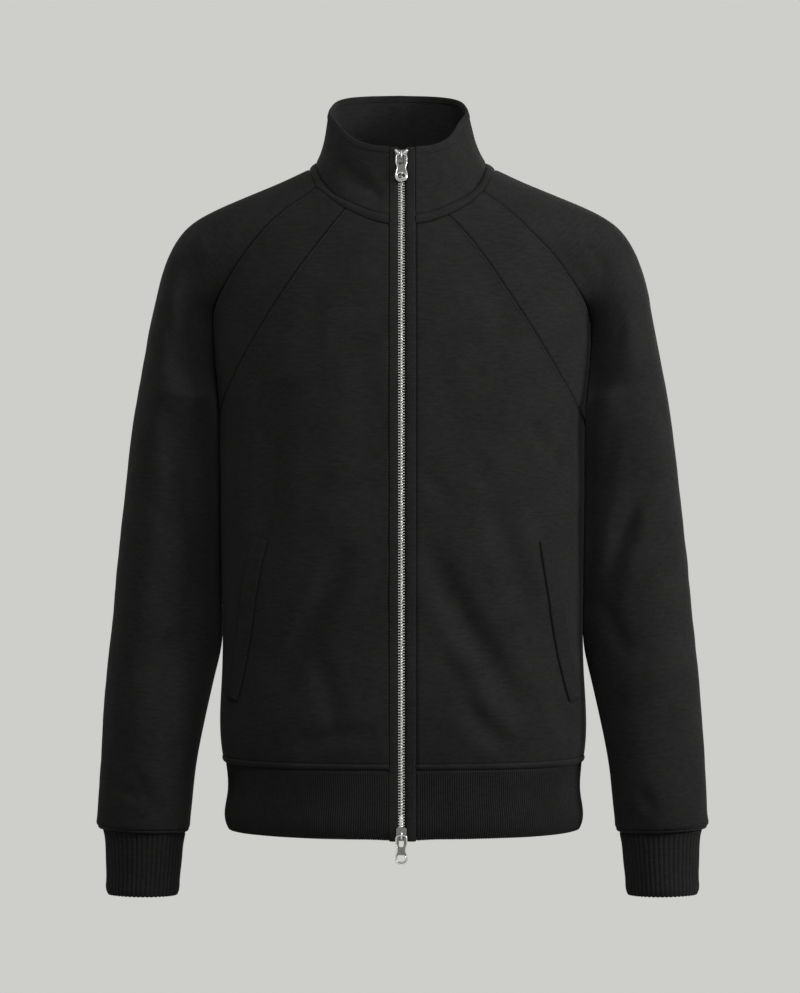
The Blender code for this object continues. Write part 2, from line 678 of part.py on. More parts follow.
def wall(name, outer, inner, closed=None):
    """A closed wall between an outer and an inner grid; closed rows meet round a tube."""
    rows, columns = outer.shape[:2]
    ids = np.arange(rows * columns).reshape(rows, columns)
    if closed is not None:
        ids[closed, -1] = ids[closed, 0]
    corners = np.stack([ids[:-1, :-1], ids[:-1, 1:], ids[1:, 1:], ids[1:, :-1]], axis=-1)
    quads = corners.reshape(-1, 4)
    edges = np.concatenate([quads[:, [0, 1]], quads[:, [1, 2]], quads[:, [2, 3]], quads[:, [3, 0]]])
    keys = np.sort(edges, axis=1)
    _, first, uses = np.unique(keys, axis=0, return_index=True, return_counts=True)
    rim = edges[first[uses == 1]]
    count = rows * columns
    faces = np.concatenate([
        quads, quads[:, ::-1] + count,
        np.stack([rim[:, 1], rim[:, 0], rim[:, 0] + count, rim[:, 1] + count], axis=-1)])
    points = np.concatenate([outer.reshape(-1, 3), inner.reshape(-1, 3)])
    used, faces = np.unique(faces, return_inverse=True)
    return solid(name, points[used], faces.reshape(-1, 4).tolist())


def solid(name, points, faces):
    """A mesh object from points in millimetres, with its faces turned out."""
    mesh = bpy.data.meshes.new(name)
    mesh.from_pydata((np.asarray(points) * MM).tolist(), [], faces)
    work = bmesh.new()
    work.from_mesh(mesh)
    bmesh.ops.recalc_face_normals(work, faces=work.faces)
    work.to_mesh(mesh)
    work.free()
    mesh.shade_smooth()
    mesh.set_sharp_from_angle(angle=CREASE_ANGLE)
    thing = bpy.data.objects.new(name, mesh)
    GARMENT.objects.link(thing)
    return thing


def finish(thing, name):
    """Give an object its own material of a named finish."""
    look = FINISHES[name]
    material = bpy.data.materials.new(thing.name + "_" + name)
    material.use_nodes = True
    shader = material.node_tree.nodes["Principled BSDF"]
    shader.inputs["Base Color"].default_value = (look.red, look.green, look.blue, 1.0)
    shader.inputs["Roughness"].default_value = look.rough
    shader.inputs["Metallic"].default_value = look.metal
    thing.data.materials.clear()
    thing.data.materials.append(material)
    return thing


# ---------------------------------------------------------------- cloth pieces

# the rows of the raglan seams, from the underarm to the neck, in a sleeve's grid and in the back's
UP_THE_CAP = np.s_[CAP_ROWS::-1]
BACK_CAP = np.s_[SIDE_ROWS + 1:]


def axis_of(grid):
    """Points inside the body, level with each point of a grid."""
    return stack(0 * grid[..., 0], 0 * grid[..., 0], grid[..., 2])


def middle_of(rings):
    """The middle of each ring of a grid, for each of its points."""
    return np.broadcast_to(rings.mean(axis=1, keepdims=True), rings.shape)


def trim_ends(outer, inner, normal, edges):
    """Pull the named edges of a wall in, outer and inner points alike."""
    before = outer.copy()
    for edge in edges:
        pull_in(outer, normal, edge)
    inner += outer - before


def build_front(name, front, normal):
    """A front panel, cut straight beside the zip."""
    for edge in ("first_row", "last_row", "last_column"):
        pull_in(front, normal, edge)
    inner = front - FLEECE * normal
    slope_inside(inner, "last_row")
    trim_at_zip(front, inner, (0,))
    finish(wall("front_" + name, front, inner), "fleece")


def build_yoke(name, yoke, normal, raglan):
    """A shoulder wedge, with its edge at the sleeve given."""
    inner = yoke - FLEECE * normal
    seam = yoke[:, -1].copy()
    trim_ends(yoke, inner, normal, ("first_row", "last_row", "first_column"))
    shift = yoke[:, -1] - seam
    yoke[:, -1] = raglan[0] + shift
    inner[:, -1] = raglan[1] + shift
    slope_inside(inner, "last_row")
    finish(wall("yoke_" + name, yoke, inner), "fleece")


def build_sleeve(name, sleeve, normal, front_edge, back_edge, closed):
    """A sleeve, open at both ends, with its edges at the wedge and at the back given."""
    inner = sleeve - FLEECE * normal
    for place, (outer_edge, inner_edge) in ((0, front_edge), (-1, back_edge)):
        sleeve[UP_THE_CAP, place] = outer_edge
        inner[UP_THE_CAP, place] = inner_edge
    trim_ends(sleeve, inner, normal, ("first_row", "last_row"))
    slope_inside(inner, "first_row")
    finish(wall("sleeve_" + name, sleeve, inner, closed), "fleece")


def build_back(back, normal, raglans):
    """The back panel, with its edges at the sleeves given for its first and last column."""
    top = back[-1].copy()
    for edge in ("first_row", "last_row", "first_column", "last_column"):
        pull_in(back, normal, edge)
    inner = back - FLEECE * normal
    lift = back[-1] - top
    for place, beside in ((0, 1), (-1, -2)):
        back[BACK_CAP, place], inner[BACK_CAP, place] = raglans[place]
        back[-1, place] += lift[beside]
        inner[-1, place] += lift[beside]
    slope_inside(inner, "last_row")
    finish(wall("back", back, inner), "fleece")


def build_body_and_sleeves():
    """Fronts, shoulder wedges, back and sleeves, parted along every seam they share."""
    front_rounds, front_heights = front_patch()
    yoke_rounds, yoke_heights = yoke_patch()
    back_rounds, back_heights = back_patch()
    back = body_point(back_rounds, back_heights, "back")
    back_normal = grid_normals(back, axis_of(back))
    raglans = {}
    for side, name, place, beside in ((-1.0, "right", 0, 1), (1.0, "left", -1, -2)):
        front = body_point(side * front_rounds, front_heights, "front")
        front_normal = grid_normals(front, axis_of(front))
        yoke = body_point(side * yoke_rounds, yoke_heights, "front")
        yoke_normal = grid_normals(yoke, axis_of(yoke))
        share_normals(front_normal[:SIDE_ROWS + 1, -1], back_normal[:SIDE_ROWS + 1, place])
        share_normals(front_normal[SIDE_ROWS:, -1], yoke_normal[:, 0])

        sleeve = sleeve_rows(side)
        closed = np.arange(len(sleeve)) >= CAP_ROWS
        sleeve_normal = grid_normals(sleeve, middle_of(sleeve), closed)
        wedge_edge, sleeve_front = part_seam(
            yoke[:, -1].copy(), SeamSide(yoke[:, -2], yoke_normal[:, -1]),
            SeamSide(sleeve[UP_THE_CAP, 1], sleeve_normal[UP_THE_CAP, 0]), side)
        raglans[place], sleeve_back = part_seam(
            back[BACK_CAP, place].copy(), SeamSide(back[BACK_CAP, beside], back_normal[BACK_CAP, place]),
            SeamSide(sleeve[UP_THE_CAP, -2], sleeve_normal[UP_THE_CAP, -1]), side)

        build_front(name, front, front_normal)
        build_yoke(name, yoke, yoke_normal, wedge_edge)
        build_sleeve(name, sleeve, sleeve_normal, sleeve_front, sleeve_back, closed)
    build_back(back, back_normal, raglans)


def build_neck():
    """The narrow neck band and the stand collar above it."""
    low = both_sides(lambda shares, side: panel_neck_line(side, shares))
    high = both_sides(lambda shares, side: neck_ring(COLLAR_SEAM, shares, side))
    top = both_sides(lambda shares, side: neck_ring(COLLAR_TOP, shares, side))
    around = np.abs(np.linspace(-1, 1, len(low)))
    ease = np.sin(math.pi / 2 * (1 - around))
    top[:, 0] += COLLAR_LEAN * ease
    high[:, 0] += COLLAR_LEAN / 2 * ease

    band = np.stack([low, (low + high) / 2, high])
    normal = grid_normals(band, axis_of(band))
    band[1] += NECK_BAND_CROWN * normal[1]
    for edge in ("first_row", "last_row"):
        pull_in(band, normal, edge)
    inner = band - FLEECE * normal
    slope_inside(inner, "first_row")
    slope_inside(inner, "last_row")
    trim_at_zip(band, inner, (0, -1))
    finish(wall("neck_band", band, inner), "fleece")

    rise = np.linspace(0, 1, COLLAR_ROWS + 1)[:, None, None]
    collar = high + (top - high) * rise
    hollow = unit(collar * (1, 1, 0))
    collar -= hollow * collar_waist(rise)
    normal = grid_normals(collar, axis_of(collar))
    pull_in(collar, normal, "first_row")
    inner = collar - COLLAR_CLOTH * normal
    slope_inside(inner, "first_row")
    trim_at_zip(collar, inner, (0, -1))
    finish(wall("collar", collar, inner), "fleece")


def rib_ring(height):
    """The hem band's outline at a height, from the zip's right edge round the back to its left."""
    width = read(RIB, "height", "width", height)
    halves = []
    for face in ("front", "back"):
        depth = read(RIB, "height", face, height)
        start = share_of_across(PANEL_START, HEM_SEAM) if face == "front" else 0.0
        shares = np.linspace(start, 1, HEM_COLUMNS + 1)
        turn = np.interp(shares, GIRTH_SHARES, TURNS)
        across = width * np.sin(turn) ** (2 / SQUARENESS)
        ahead = np.maximum(np.cos(turn), 0) ** (2 / SQUARENESS)
        halves.append(stack(across, FACING[face] * depth * ahead, height))
    half = np.concatenate([halves[0], halves[1][-2::-1]])
    ring = np.concatenate([half * (-1, 1, 1), half[-2::-1]])
    return ring + (float(read(RIB, "height", "shift", height)), 0, 0)


def build_hem():
    """The ribbed band at the hem, open at the zip."""
    heights = (*HEM_HEIGHTS, HEM_SEAM)
    grid = np.stack([rib_ring(height) for height in heights])
    normal = grid_normals(grid, axis_of(grid))
    pull_in(grid, normal, "last_row")
    inner = grid - RIB_KNIT * normal
    trim_at_zip(grid, inner, (0, -1))
    finish(wall("hem_rib", grid, inner), "rib")


def build_cuffs():
    """The ribbed tubes at the wrists."""
    turns = np.linspace(1, 0, CUFF_COLUMNS + 1)
    for side, name in ((-1.0, "right"), (1.0, "left")):
        rings = arm_rings(CUFF, CUFF_RING_HEIGHTS)
        grid = np.stack([ring_points(ring, side, turns) for ring in rings])
        closed = np.ones(len(grid), bool)
        normal = grid_normals(grid, middle_of(grid), closed)
        pull_in(grid, normal, "first_row")
        finish(wall("cuff_" + name, grid, grid - RIB_KNIT * normal, closed), "rib")


# ---------------------------------------------------------------- zip

def front_line(heights):
    """Depth of the garment's front at the zip, up the hem band, the panels and the collar."""
    heights = np.asarray(heights, float)
    rib = -read(RIB, "height", "front", np.maximum(heights, STRAIGHT_FOOT))
    body = body_point(share_of_across(PANEL_START, heights), heights, "front")[..., 1]
    seam = neck_ring(COLLAR_SEAM, np.zeros(1), 1.0)[0]
    top = neck_ring(COLLAR_TOP, np.zeros(1), 1.0)[0]
    rise = np.clip((heights - seam[2]) / (top[2] - seam[2]), 0, 1)
    collar = seam[1] + (top[1] - seam[1]) * rise + collar_waist(rise)
    neck = read(NECK_FRONT, "across", "height", PANEL_START)
    edge = body_point(share_of_across(PANEL_START, neck), neck, "front")[1]
    band = np.interp(heights, (neck, seam[2]), (edge, seam[1]))
    above = np.where(heights < seam[2], band, collar)
    return np.where(heights < HEM_SEAM, rib, np.where(heights < neck, body, above))


def zip_frame(heights):
    """Points of the zip line with its direction up the garment and its direction out of it."""
    heights = np.asarray(heights, float)
    point = stack(0, front_line(heights), heights)
    ahead = stack(0, front_line(heights + ZIP_SMOOTHING), heights + ZIP_SMOOTHING)
    behind = stack(0, front_line(heights - ZIP_SMOOTHING), heights - ZIP_SMOOTHING)
    up = unit(ahead - behind)
    return point, up, np.cross((1.0, 0.0, 0.0), up)


def zip_strip(name, across, front_depth, back_depth, heights, look):
    """A strip along the zip between two distances from the middle and two depths into the cloth."""
    point, up, out = zip_frame(heights)
    grid = np.stack([point + stack(x, 0, 0) for x in across], axis=1)
    outer = grid - out[:, None, :] * front_depth
    inner = grid - out[:, None, :] * back_depth
    return finish(wall(name, outer, inner), look)


def build_zip_strips():
    """Front bands, tapes and the closed chain."""
    whole = (ZIP_FOOT,) + ZIP_ROWS + (ZIP_HEAD,)
    for side, name in ((-1.0, "right"), (1.0, "left")):
        across = sorted((side * BAND_INNER[name], side * BAND_OUTER))
        zip_strip("front_band_" + name, across, 0.0, BAND_CLOTH, whole, "fleece")
        across = sorted((side * TAPE_INNER + ZIP_CENTRE, side * BAND_OUTER))
        zip_strip("zip_tape_" + name, across, TAPE_DEPTH, TAPE_DEPTH + TAPE, whole, "tape")
    foot = SLIDER_BOTTOM_HEIGHT - NECK_SPAN[0] + CHAIN_IN_SLIDER
    head = SLIDER_TOP_HEIGHT + NECK_SPAN[0] - CHAIN_IN_SLIDER
    inside = [height for height in ZIP_ROWS if foot + CHAIN_ROW_ROOM < height < head - CHAIN_ROW_ROOM]
    across = (ZIP_CENTRE - CHAIN_HALF, ZIP_CENTRE + CHAIN_HALF)
    zip_strip("zip_chain", across, CHAIN_FRONT, CHAIN_BACK, (foot, *inside, head), "metal")


def outline_loop(table):
    """A symmetric outline from its right side: points across and along."""
    right = [(row.half, row.along) for row in table]
    return right + [(-half, along) for half, along in reversed(right)]


def plate(name, loops, low, high):
    """A flat plate from an outline and its holes, between two distances out of the cloth."""
    curve = bpy.data.curves.new(name, "CURVE")
    curve.dimensions = "2D"
    curve.fill_mode = "BOTH"
    curve.extrude = (high - low) / 2 * MM
    for loop in loops:
        spline = curve.splines.new("POLY")
        spline.points.add(len(loop) - 1)
        spline.use_cyclic_u = True
        for point, (across, along) in zip(spline.points, loop):
            point.co = (across * MM, along * MM, 0, 1)
    return meshed(name, curve, (low + high) / 2)


def meshed(name, curve, lift):
    """The mesh of a curve as an object of its own, welded and moved out by lift."""
    guide = bpy.data.objects.new(name + "_guide", curve)
    GARMENT.objects.link(guide)
    graph = bpy.context.evaluated_depsgraph_get()
    mesh = bpy.data.meshes.new_from_object(guide.evaluated_get(graph))
    bpy.data.objects.remove(guide)
    bpy.data.curves.remove(curve)
    work = bmesh.new()
    work.from_mesh(mesh)
    bmesh.ops.remove_doubles(work, verts=work.verts, dist=WELD * MM)
    bmesh.ops.translate(work, verts=work.verts, vec=(0, 0, lift * MM))
    bmesh.ops.recalc_face_normals(work, faces=work.faces)
    work.to_mesh(mesh)
    work.free()
    mesh.name = name
    thing = bpy.data.objects.new(name, mesh)
    GARMENT.objects.link(thing)
    return thing


def crown_wire(name, flip):
    """The bent wire over a slider that its pull hangs in."""
    curve = bpy.data.curves.new(name, "CURVE")
    curve.dimensions = "3D"
    curve.bevel_depth = CROWN_WIRE * MM
    curve.bevel_resolution = CROWN_FACETS
    curve.use_fill_caps = True
    spline = curve.splines.new("POLY")
    spline.points.add(len(CROWN) - 1)
    for point, row in zip(spline.points, CROWN):
        point.co = (0, flip * row.along * MM, row.out * MM, 1)
    return meshed(name, curve, 0)


def box(name, low, high):
    """A block between two corners, in millimetres."""
    work = bmesh.new()
    bmesh.ops.create_cube(work, size=1)
    size = [(b - a) * MM for a, b in zip(low, high)]
    middle = [(a + b) / 2 * MM for a, b in zip(low, high)]
    bmesh.ops.scale(work, verts=work.verts, vec=size)
    bmesh.ops.translate(work, verts=work.verts, vec=middle)
    mesh = bpy.data.meshes.new(name)
    work.to_mesh(mesh)
    work.free()
    thing = bpy.data.objects.new(name, mesh)
    GARMENT.objects.link(thing)
    return thing


def union(thing, others):
    """Join other solids to one, exactly, and leave one body."""
    for other in others:
        modifier = thing.modifiers.new("join", "BOOLEAN")
        modifier.operation = "UNION"
        modifier.solver = "EXACT"
        modifier.object = other
        graph = bpy.context.evaluated_depsgraph_get()
        mesh = bpy.data.meshes.new_from_object(thing.evaluated_get(graph))
        thing.modifiers.clear()
        thing.data = mesh
        bpy.data.objects.remove(other)
    return thing


def slider_frame(height):
    """The middle of a slider, its direction up the zip and its direction out of the cloth."""
    point, up, out = zip_frame(np.array([height]))
    return point[0] + (ZIP_CENTRE, 0, 0), up[0], out[0]


def turn_flat(thing, up, out, place=(0, 0, 0)):
    """Turn a piece built flat: its x stays across, its y goes up, its z goes out; then move it."""
    flat = np.empty(len(thing.data.vertices) * 3)
    thing.data.vertices.foreach_get("co", flat)
    turned = flat.reshape(-1, 3) @ np.array(((1.0, 0.0, 0.0), up, out)) + np.array(place) * MM
    thing.data.vertices.foreach_set("co", turned.ravel())
    thing.data.update()


def build_slider(name, height, flip):
    """A slider: front plate with its crown, neck and back plate, in one solid."""
    loop = [(across, flip * along) for across, along in outline_loop(SLIDER_PLATE)]
    front = plate(name, [loop], -PLATE_FRONT[1], -PLATE_FRONT[0])
    back = plate(name + "_back", [loop], -PLATE_BACK[1], -PLATE_BACK[0])
    span = sorted(flip * value for value in NECK_SPAN)
    neck = box(name + "_neck", (-NECK_HALF, span[0], -PLATE_BACK[0] - NECK_OVERLAP),
               (NECK_HALF, span[1], -PLATE_FRONT[1] + NECK_OVERLAP))
    union(front, (back, neck, crown_wire(name + "_crown", flip)))
    point, up, out = slider_frame(height)
    turn_flat(front, up, out, point)
    finish(front, "metal")


def build_pull(name, height, flip, hangs):
    """A pull tab: a plate with a slot round the crown and an eye, turned about its own origin.

    It lies along the zip, or hangs straight down.
    """
    loops = [[(across, -along) for across, along in outline_loop(table)]
             for table in (PULL_OUTLINE, PULL_SLOT, PULL_EYE)]
    tab = plate(name, loops, -PULL_THICK / 2, PULL_THICK / 2)
    point, up, out = slider_frame(height)
    pivot = point + up * flip * PULL_PIVOT_ALONG + out * PULL_PIVOT_OUT
    turn_flat(tab, (0.0, 0.0, 1.0) if hangs else up, (0.0, -1.0, 0.0) if hangs else out)
    tab.location = tuple(pivot * MM)
    finish(tab, "metal")


# ---------------------------------------------------------------- pockets

def build_welts():
    """The slanted welts, made from the front panels' own points moved out."""
    rounds, heights = front_patch()
    rows = np.linspace(0, 1, WELT_ROWS + 1)
    places = np.linspace(-1, 1, WELT_COLUMNS + 1)
    keys = np.linspace(0, 1, len(WELT_LINE))
    across = smooth(keys, column(WELT_LINE, "across"), rows)
    level = smooth(keys, column(WELT_LINE, "height"), rows)
    middle = share_of_across(across, level)
    share = middle[:, None] + places[None, :] * WELT_HALF * math.cos(WELT_TILT) / QUARTER_GIRTH
    height = level[:, None] + places[None, :] * WELT_HALF * math.sin(WELT_TILT)
    for side, name in ((-1.0, "right"), (1.0, "left")):
        panel = body_point(side * rounds, heights, "front")
        normal = grid_normals(panel, axis_of(panel))
        grid = on_panel(panel, rounds, heights, share, height)
        lift = on_panel(normal, rounds, heights, share, height)
        inner = grid + lift * WELT_LIFT
        outer = grid + lift * (WELT_LIFT + WELT_CLOTH)
        finish(wall("welt_" + name, outer, inner), "fleece")


def on_panel(values, rounds, heights, share, height):
    """Values of a panel's grid read at a girth share and a height, straight between its points."""
    row = np.interp(height, heights[:, -1], np.arange(len(heights)))
    for _ in range(4):
        low = np.clip(np.floor(row).astype(int), 0, len(heights) - 2)
        part = row - low
        left = rounds[low, 0] * (1 - part) + rounds[low + 1, 0] * part
        right = rounds[low, -1] * (1 - part) + rounds[low + 1, -1] * part
        place = (share - left) / (right - left)
        level = (heights[low, 0] * (1 - part) + heights[low + 1, 0] * part) * (1 - place) \
            + (heights[low, -1] * (1 - part) + heights[low + 1, -1] * part) * place
        step = heights[low + 1, -1] - heights[low, -1]
        row = row + (height - level) / step
    low = np.clip(np.floor(row).astype(int), 0, len(heights) - 2)
    part = (row - low)[..., None]
    spot = np.clip(place * (values.shape[1] - 1), 0, values.shape[1] - 1.001)
    cell = np.floor(spot).astype(int)
    side = (spot - cell)[..., None]
    below = values[low, cell] * (1 - side) + values[low, cell + 1] * side
    above = values[low + 1, cell] * (1 - side) + values[low + 1, cell + 1] * side
    return below * (1 - part) + above * part


# ---------------------------------------------------------------- garment

for old in list(bpy.data.objects):
    bpy.data.objects.remove(old, do_unlink=True)
GARMENT = bpy.data.collections.new("zip_sweatshirt")
bpy.context.scene.collection.children.link(GARMENT)

build_body_and_sleeves()
build_neck()
build_hem()
build_cuffs()
build_zip_strips()
build_slider("slider_top", SLIDER_TOP_HEIGHT, 1.0)
build_slider("slider_bottom", SLIDER_BOTTOM_HEIGHT, -1.0)
build_pull("pull_top", SLIDER_TOP_HEIGHT, 1.0, hangs=False)
build_pull("pull_bottom", SLIDER_BOTTOM_HEIGHT, -1.0, hangs=True)
build_welts()
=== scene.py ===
import math

import bmesh
import bpy
import numpy as np
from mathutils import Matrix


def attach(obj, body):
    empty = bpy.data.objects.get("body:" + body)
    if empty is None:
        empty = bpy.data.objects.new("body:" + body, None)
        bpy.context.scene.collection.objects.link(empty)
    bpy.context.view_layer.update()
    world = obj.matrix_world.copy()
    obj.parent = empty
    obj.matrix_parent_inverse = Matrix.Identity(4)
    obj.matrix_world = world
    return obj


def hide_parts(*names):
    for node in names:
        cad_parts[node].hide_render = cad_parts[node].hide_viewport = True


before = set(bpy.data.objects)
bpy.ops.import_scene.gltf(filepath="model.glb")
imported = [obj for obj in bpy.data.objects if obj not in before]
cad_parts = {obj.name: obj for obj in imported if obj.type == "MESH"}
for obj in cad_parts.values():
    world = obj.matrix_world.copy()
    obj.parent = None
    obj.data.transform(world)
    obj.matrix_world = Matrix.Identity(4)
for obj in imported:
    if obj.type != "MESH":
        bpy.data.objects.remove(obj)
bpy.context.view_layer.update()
mm = 0.001
print("frame loaded:", len(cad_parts), "nodes")

# Tables are in millimetres. The front faces -Y and +X is the wearer's left.
wornSides = ((-1.0, "Right"), (1.0, "Left"))

camera = {
    "place": (-0.0025, -3.2, -0.3245),
    "distance": 3.2,          # from the camera to the middle of the garment, in metres
    "heightInView": 0.993,    # what the picture's height takes in at that distance, in metres
    "sensor": 36.0,
}


# a level camera whose lens takes in the stated height at the stated distance
def makeCamera():
    data = bpy.data.cameras.new("camera")
    data.sensor_fit = "VERTICAL"
    data.sensor_height = camera["sensor"]
    data.lens = camera["sensor"] * camera["distance"] / camera["heightInView"]
    data.dof.use_dof = False
    thing = bpy.data.objects.new("camera", data)
    thing.location = camera["place"]
    thing.rotation_euler = (math.pi / 2, 0, 0)
    bpy.context.scene.collection.objects.link(thing)
    bpy.context.scene.camera = thing


makeCamera()
print("camera set")


# natural cubic spline through column 0 of the rows and another column, read at given values
def readCurve(rows, column, at):
    data = np.array(rows, float)
    data = data[np.argsort(data[:, 0])]
    xs, ys = data[:, 0], data[:, column]
    gaps, count = np.diff(xs), len(xs)
    slopes = np.diff(ys) / gaps
    system, right = np.eye(count), np.zeros(count)
    inner = np.arange(1, count - 1)
    system[inner, inner - 1] = gaps[:-1]
    system[inner, inner] = 2 * (gaps[:-1] + gaps[1:])
    system[inner, inner + 1] = gaps[1:]
    right[inner] = 6 * np.diff(slopes)
    bend = np.linalg.solve(system, right)
    at = np.clip(np.asarray(at, float), xs[0], xs[-1])
    i = np.clip(np.searchsorted(xs, at) - 1, 0, count - 2)
    a = (xs[i + 1] - at) / gaps[i]
    b = 1 - a
    cubic = ((a ** 3 - a) * bend[i] + (b ** 3 - b) * bend[i + 1]) * gaps[i] ** 2 / 6
    return a * ys[i] + b * ys[i + 1] + cubic


# a vector divided by its length
def unit(v):
    return v / np.maximum(np.linalg.norm(v, axis=-1, keepdims=True), 1e-9)


# points from x, y and z of any shapes that go together
def stack(x, y, z):
    return np.stack(np.broadcast_arrays(x, y, z), axis=-1).astype(float)


# length run along a line of points, from 0
def lengthAlong(points):
    steps = np.linalg.norm(np.diff(points, axis=0), axis=-1)
    return np.concatenate([[0.0], np.cumsum(steps)])


# shares from 0 to 1 whose steps grow from fine, near the chosen ends, to coarse past the reach
def gradedShares(length, fine, coarse, reach, ends=(True, True), samples=4001, ease=2.5):
    s = np.linspace(0, length, samples)
    near = np.full(s.shape, 2.0 * length)
    near = np.minimum(near, s) if ends[0] else near
    near = np.minimum(near, length - s) if ends[1] else near
    step = fine + (coarse - fine) * np.clip((near - reach) / (ease * reach), 0, 1)
    count = np.concatenate([[0], np.cumsum(np.diff(s) / (step[1:] + step[:-1]) * 2)])
    steps = math.ceil(count[-1])
    return np.interp(np.linspace(0, count[-1], steps + 1), count, s) / length


# smooth noise: seeded random heights on a lattice, eased between neighbours, from -1 to 1
def ripple(x, y, size, seed, knots=64):
    heights = np.random.default_rng(seed).uniform(-1, 1, (knots, knots))
    x, y = np.broadcast_arrays(x / size, y / size)
    i, j = np.floor(x).astype(int), np.floor(y).astype(int)
    u, v = x - i, y - j
    u, v = u * u * (3 - 2 * u), v * v * (3 - 2 * v)
    i, j, k, m = i % knots, j % knots, (i + 1) % knots, (j + 1) % knots
    low = heights[i, j] * (1 - u) + heights[k, j] * u
    high = heights[i, m] * (1 - u) + heights[k, m] * u
    return low * (1 - v) + high * v


# normals of a grid: the cross product of its two directions, turned away from the inside points
def gridNormals(grid, inside, closed=None):
    padded = np.concatenate([2 * grid[:, :1] - grid[:, 1:2], grid,
                             2 * grid[:, -1:] - grid[:, -2:-1]], axis=1)
    if closed is not None:
        padded[closed, 0] = grid[closed, -2]
        padded[closed, -1] = grid[closed, 1]
    normal = unit(np.cross(padded[:, 2:] - padded[:, :-2], np.gradient(grid, axis=0)))
    return normal if np.sum(normal * (grid - inside)) > 0 else -normal


# normals of a grid round the body, turned away from the body's axis
def bodyNormals(grid):
    return gridNormals(grid, stack(0 * grid[..., 0], 0 * grid[..., 0], grid[..., 2]))


# a grid seen from one of its edges: one line of points away from it for each place along it
def fromEdge(grid, edge):
    if edge.endswith("Row"):
        grid = np.swapaxes(grid, 0, 1)
    return grid[:, ::-1] if edge.startswith("last") else grid


# how far each point lies from an edge, square to it, and how far along the edge its line starts
def edgeDistance(grid, edge, aim=5, least=0.05):
    lines = fromEdge(grid, edge)
    steps = np.linalg.norm(np.diff(lines, axis=1), axis=-1)
    away = np.concatenate([np.zeros((len(lines), 1)), np.cumsum(steps, axis=1)], axis=1)
    tangent = unit(np.gradient(lines[:, 0], axis=0))
    heading = unit(lines[:, min(aim, lines.shape[1] - 1)] - lines[:, 0])
    slant = np.sqrt(np.clip(1 - np.sum(tangent * heading, axis=-1) ** 2, least, 1))
    return away * slant[:, None], lengthAlong(lines[:, 0])


# turn values laid out from an edge back to the grid's own order
def toGrid(values, edge):
    values = values[:, ::-1] if edge.startswith("last") else values
    return np.swapaxes(values, 0, 1) if edge.endswith("Row") else values


seamStyle = {
    # what a plain seam is, and where others differ from it: depth and width of its dip, distance
    # of its stitches, depth of their channel, height of the swell beside it and of the puckers
    "sewn": {"dip": 0.9, "reach": 1.2, "stitch": None, "channel": 0.45, "swell": 0.35,
             "pucker": 0.12},
    "flat": {"reach": 1.4}, "zipEdge": {"dip": 0.7}, "armSeam": {"dip": 0.35},
    "hem": {"stitch": 6.4, "swell": 0.9, "channel": 0.7, "pucker": 0.30},
    "cuff": {"stitch": 5.2, "swell": 0.8, "channel": 0.7, "pucker": 0.30},
    "rib": {"dip": 0.8, "reach": 1.1},
    "wedge": {"reach": 1.4, "stitch": 3.3, "swell": 0.25, "channel": 0.4},
    "raglanSleeve": {"dip": 0.55, "reach": 1.4},
    "raglanWedge": {"dip": 0.7, "reach": 1.4, "stitch": 3.5, "swell": 0.3, "channel": 0.4},
    "raglanBack": {"reach": 1.4, "stitch": 3.5, "swell": 0.3, "channel": 0.4},
    "collar": {"dip": 1.0, "reach": 1.5},
    "collarOutside": {"dip": 0.0, "stitch": 6.0, "swell": 0.5, "channel": 0.55, "pucker": 0.16},
    "collarInside": {"dip": 0.0, "stitch": 6.0, "swell": 0.4, "channel": 0.5, "pucker": 0.16},
    "band": {"stitch": 1.9},
    "welt": {"dip": 0.7, "reach": 1.0, "stitch": 2.0, "channel": 0.3, "swell": 0.1,
             "pucker": 0.08},
}
seamShape = {
    # as shares of the stitches' distance: where the swell stands highest, how wide it is and how
    # far the puckers reach
    "crest": 0.55, "rise": 0.38, "puckerReach": 0.9,
    "channelWidth": 0.85,
    # the puckers' waves: share, how much they shorten away from the seam, size
    "puckers": [(1.0, 0.35, 4.6), (0.6, 0.2, 11.0)],
}


# the cloth beside a seam: it dips to the seam as a bell of the distance, swells over the seam
# allowance, dips again at a row of stitches, and puckers in short waves that die away from it
def seamRelief(grid, edge, style="sewn", seed=3):
    look = {**seamStyle["sewn"], **seamStyle[style]}
    away, along = edgeDistance(grid, edge)
    relief = -look["dip"] * np.exp(-(away / look["reach"]) ** 2)
    stitch = look["stitch"]
    if stitch:
        relief += look["swell"] * np.exp(
            -((away - stitch * seamShape["crest"]) / (stitch * seamShape["rise"])) ** 2)
        relief -= look["channel"] * np.exp(-((away - stitch) / seamShape["channelWidth"]) ** 2)
        waves = sum(share * ripple(along[:, None], away * short, size, seed + k)
                    for k, (share, short, size) in enumerate(seamShape["puckers"]))
        relief += look["pucker"] * waves * np.exp(
            -np.abs(away - stitch) / (seamShape["puckerReach"] * stitch))
    return toGrid(relief, edge)


# points and normals of a grid at one distance from an edge
def lineInset(grid, normal, edge, distance):
    away, _ = edgeDistance(grid, edge)
    lines, normals = fromEdge(grid, edge), fromEdge(normal, edge)
    place = np.clip(np.sum(away < distance, axis=1), 1, away.shape[1] - 1)
    rows = np.arange(len(lines))
    before, after = away[rows, place - 1], away[rows, place]
    share = np.clip((distance - before) / np.maximum(after - before, 1e-6), 0, 1)[:, None]
    points = lines[rows, place - 1] * (1 - share) + lines[rows, place] * share
    return points, unit(normals[rows, place - 1] * (1 - share) + normals[rows, place] * share)


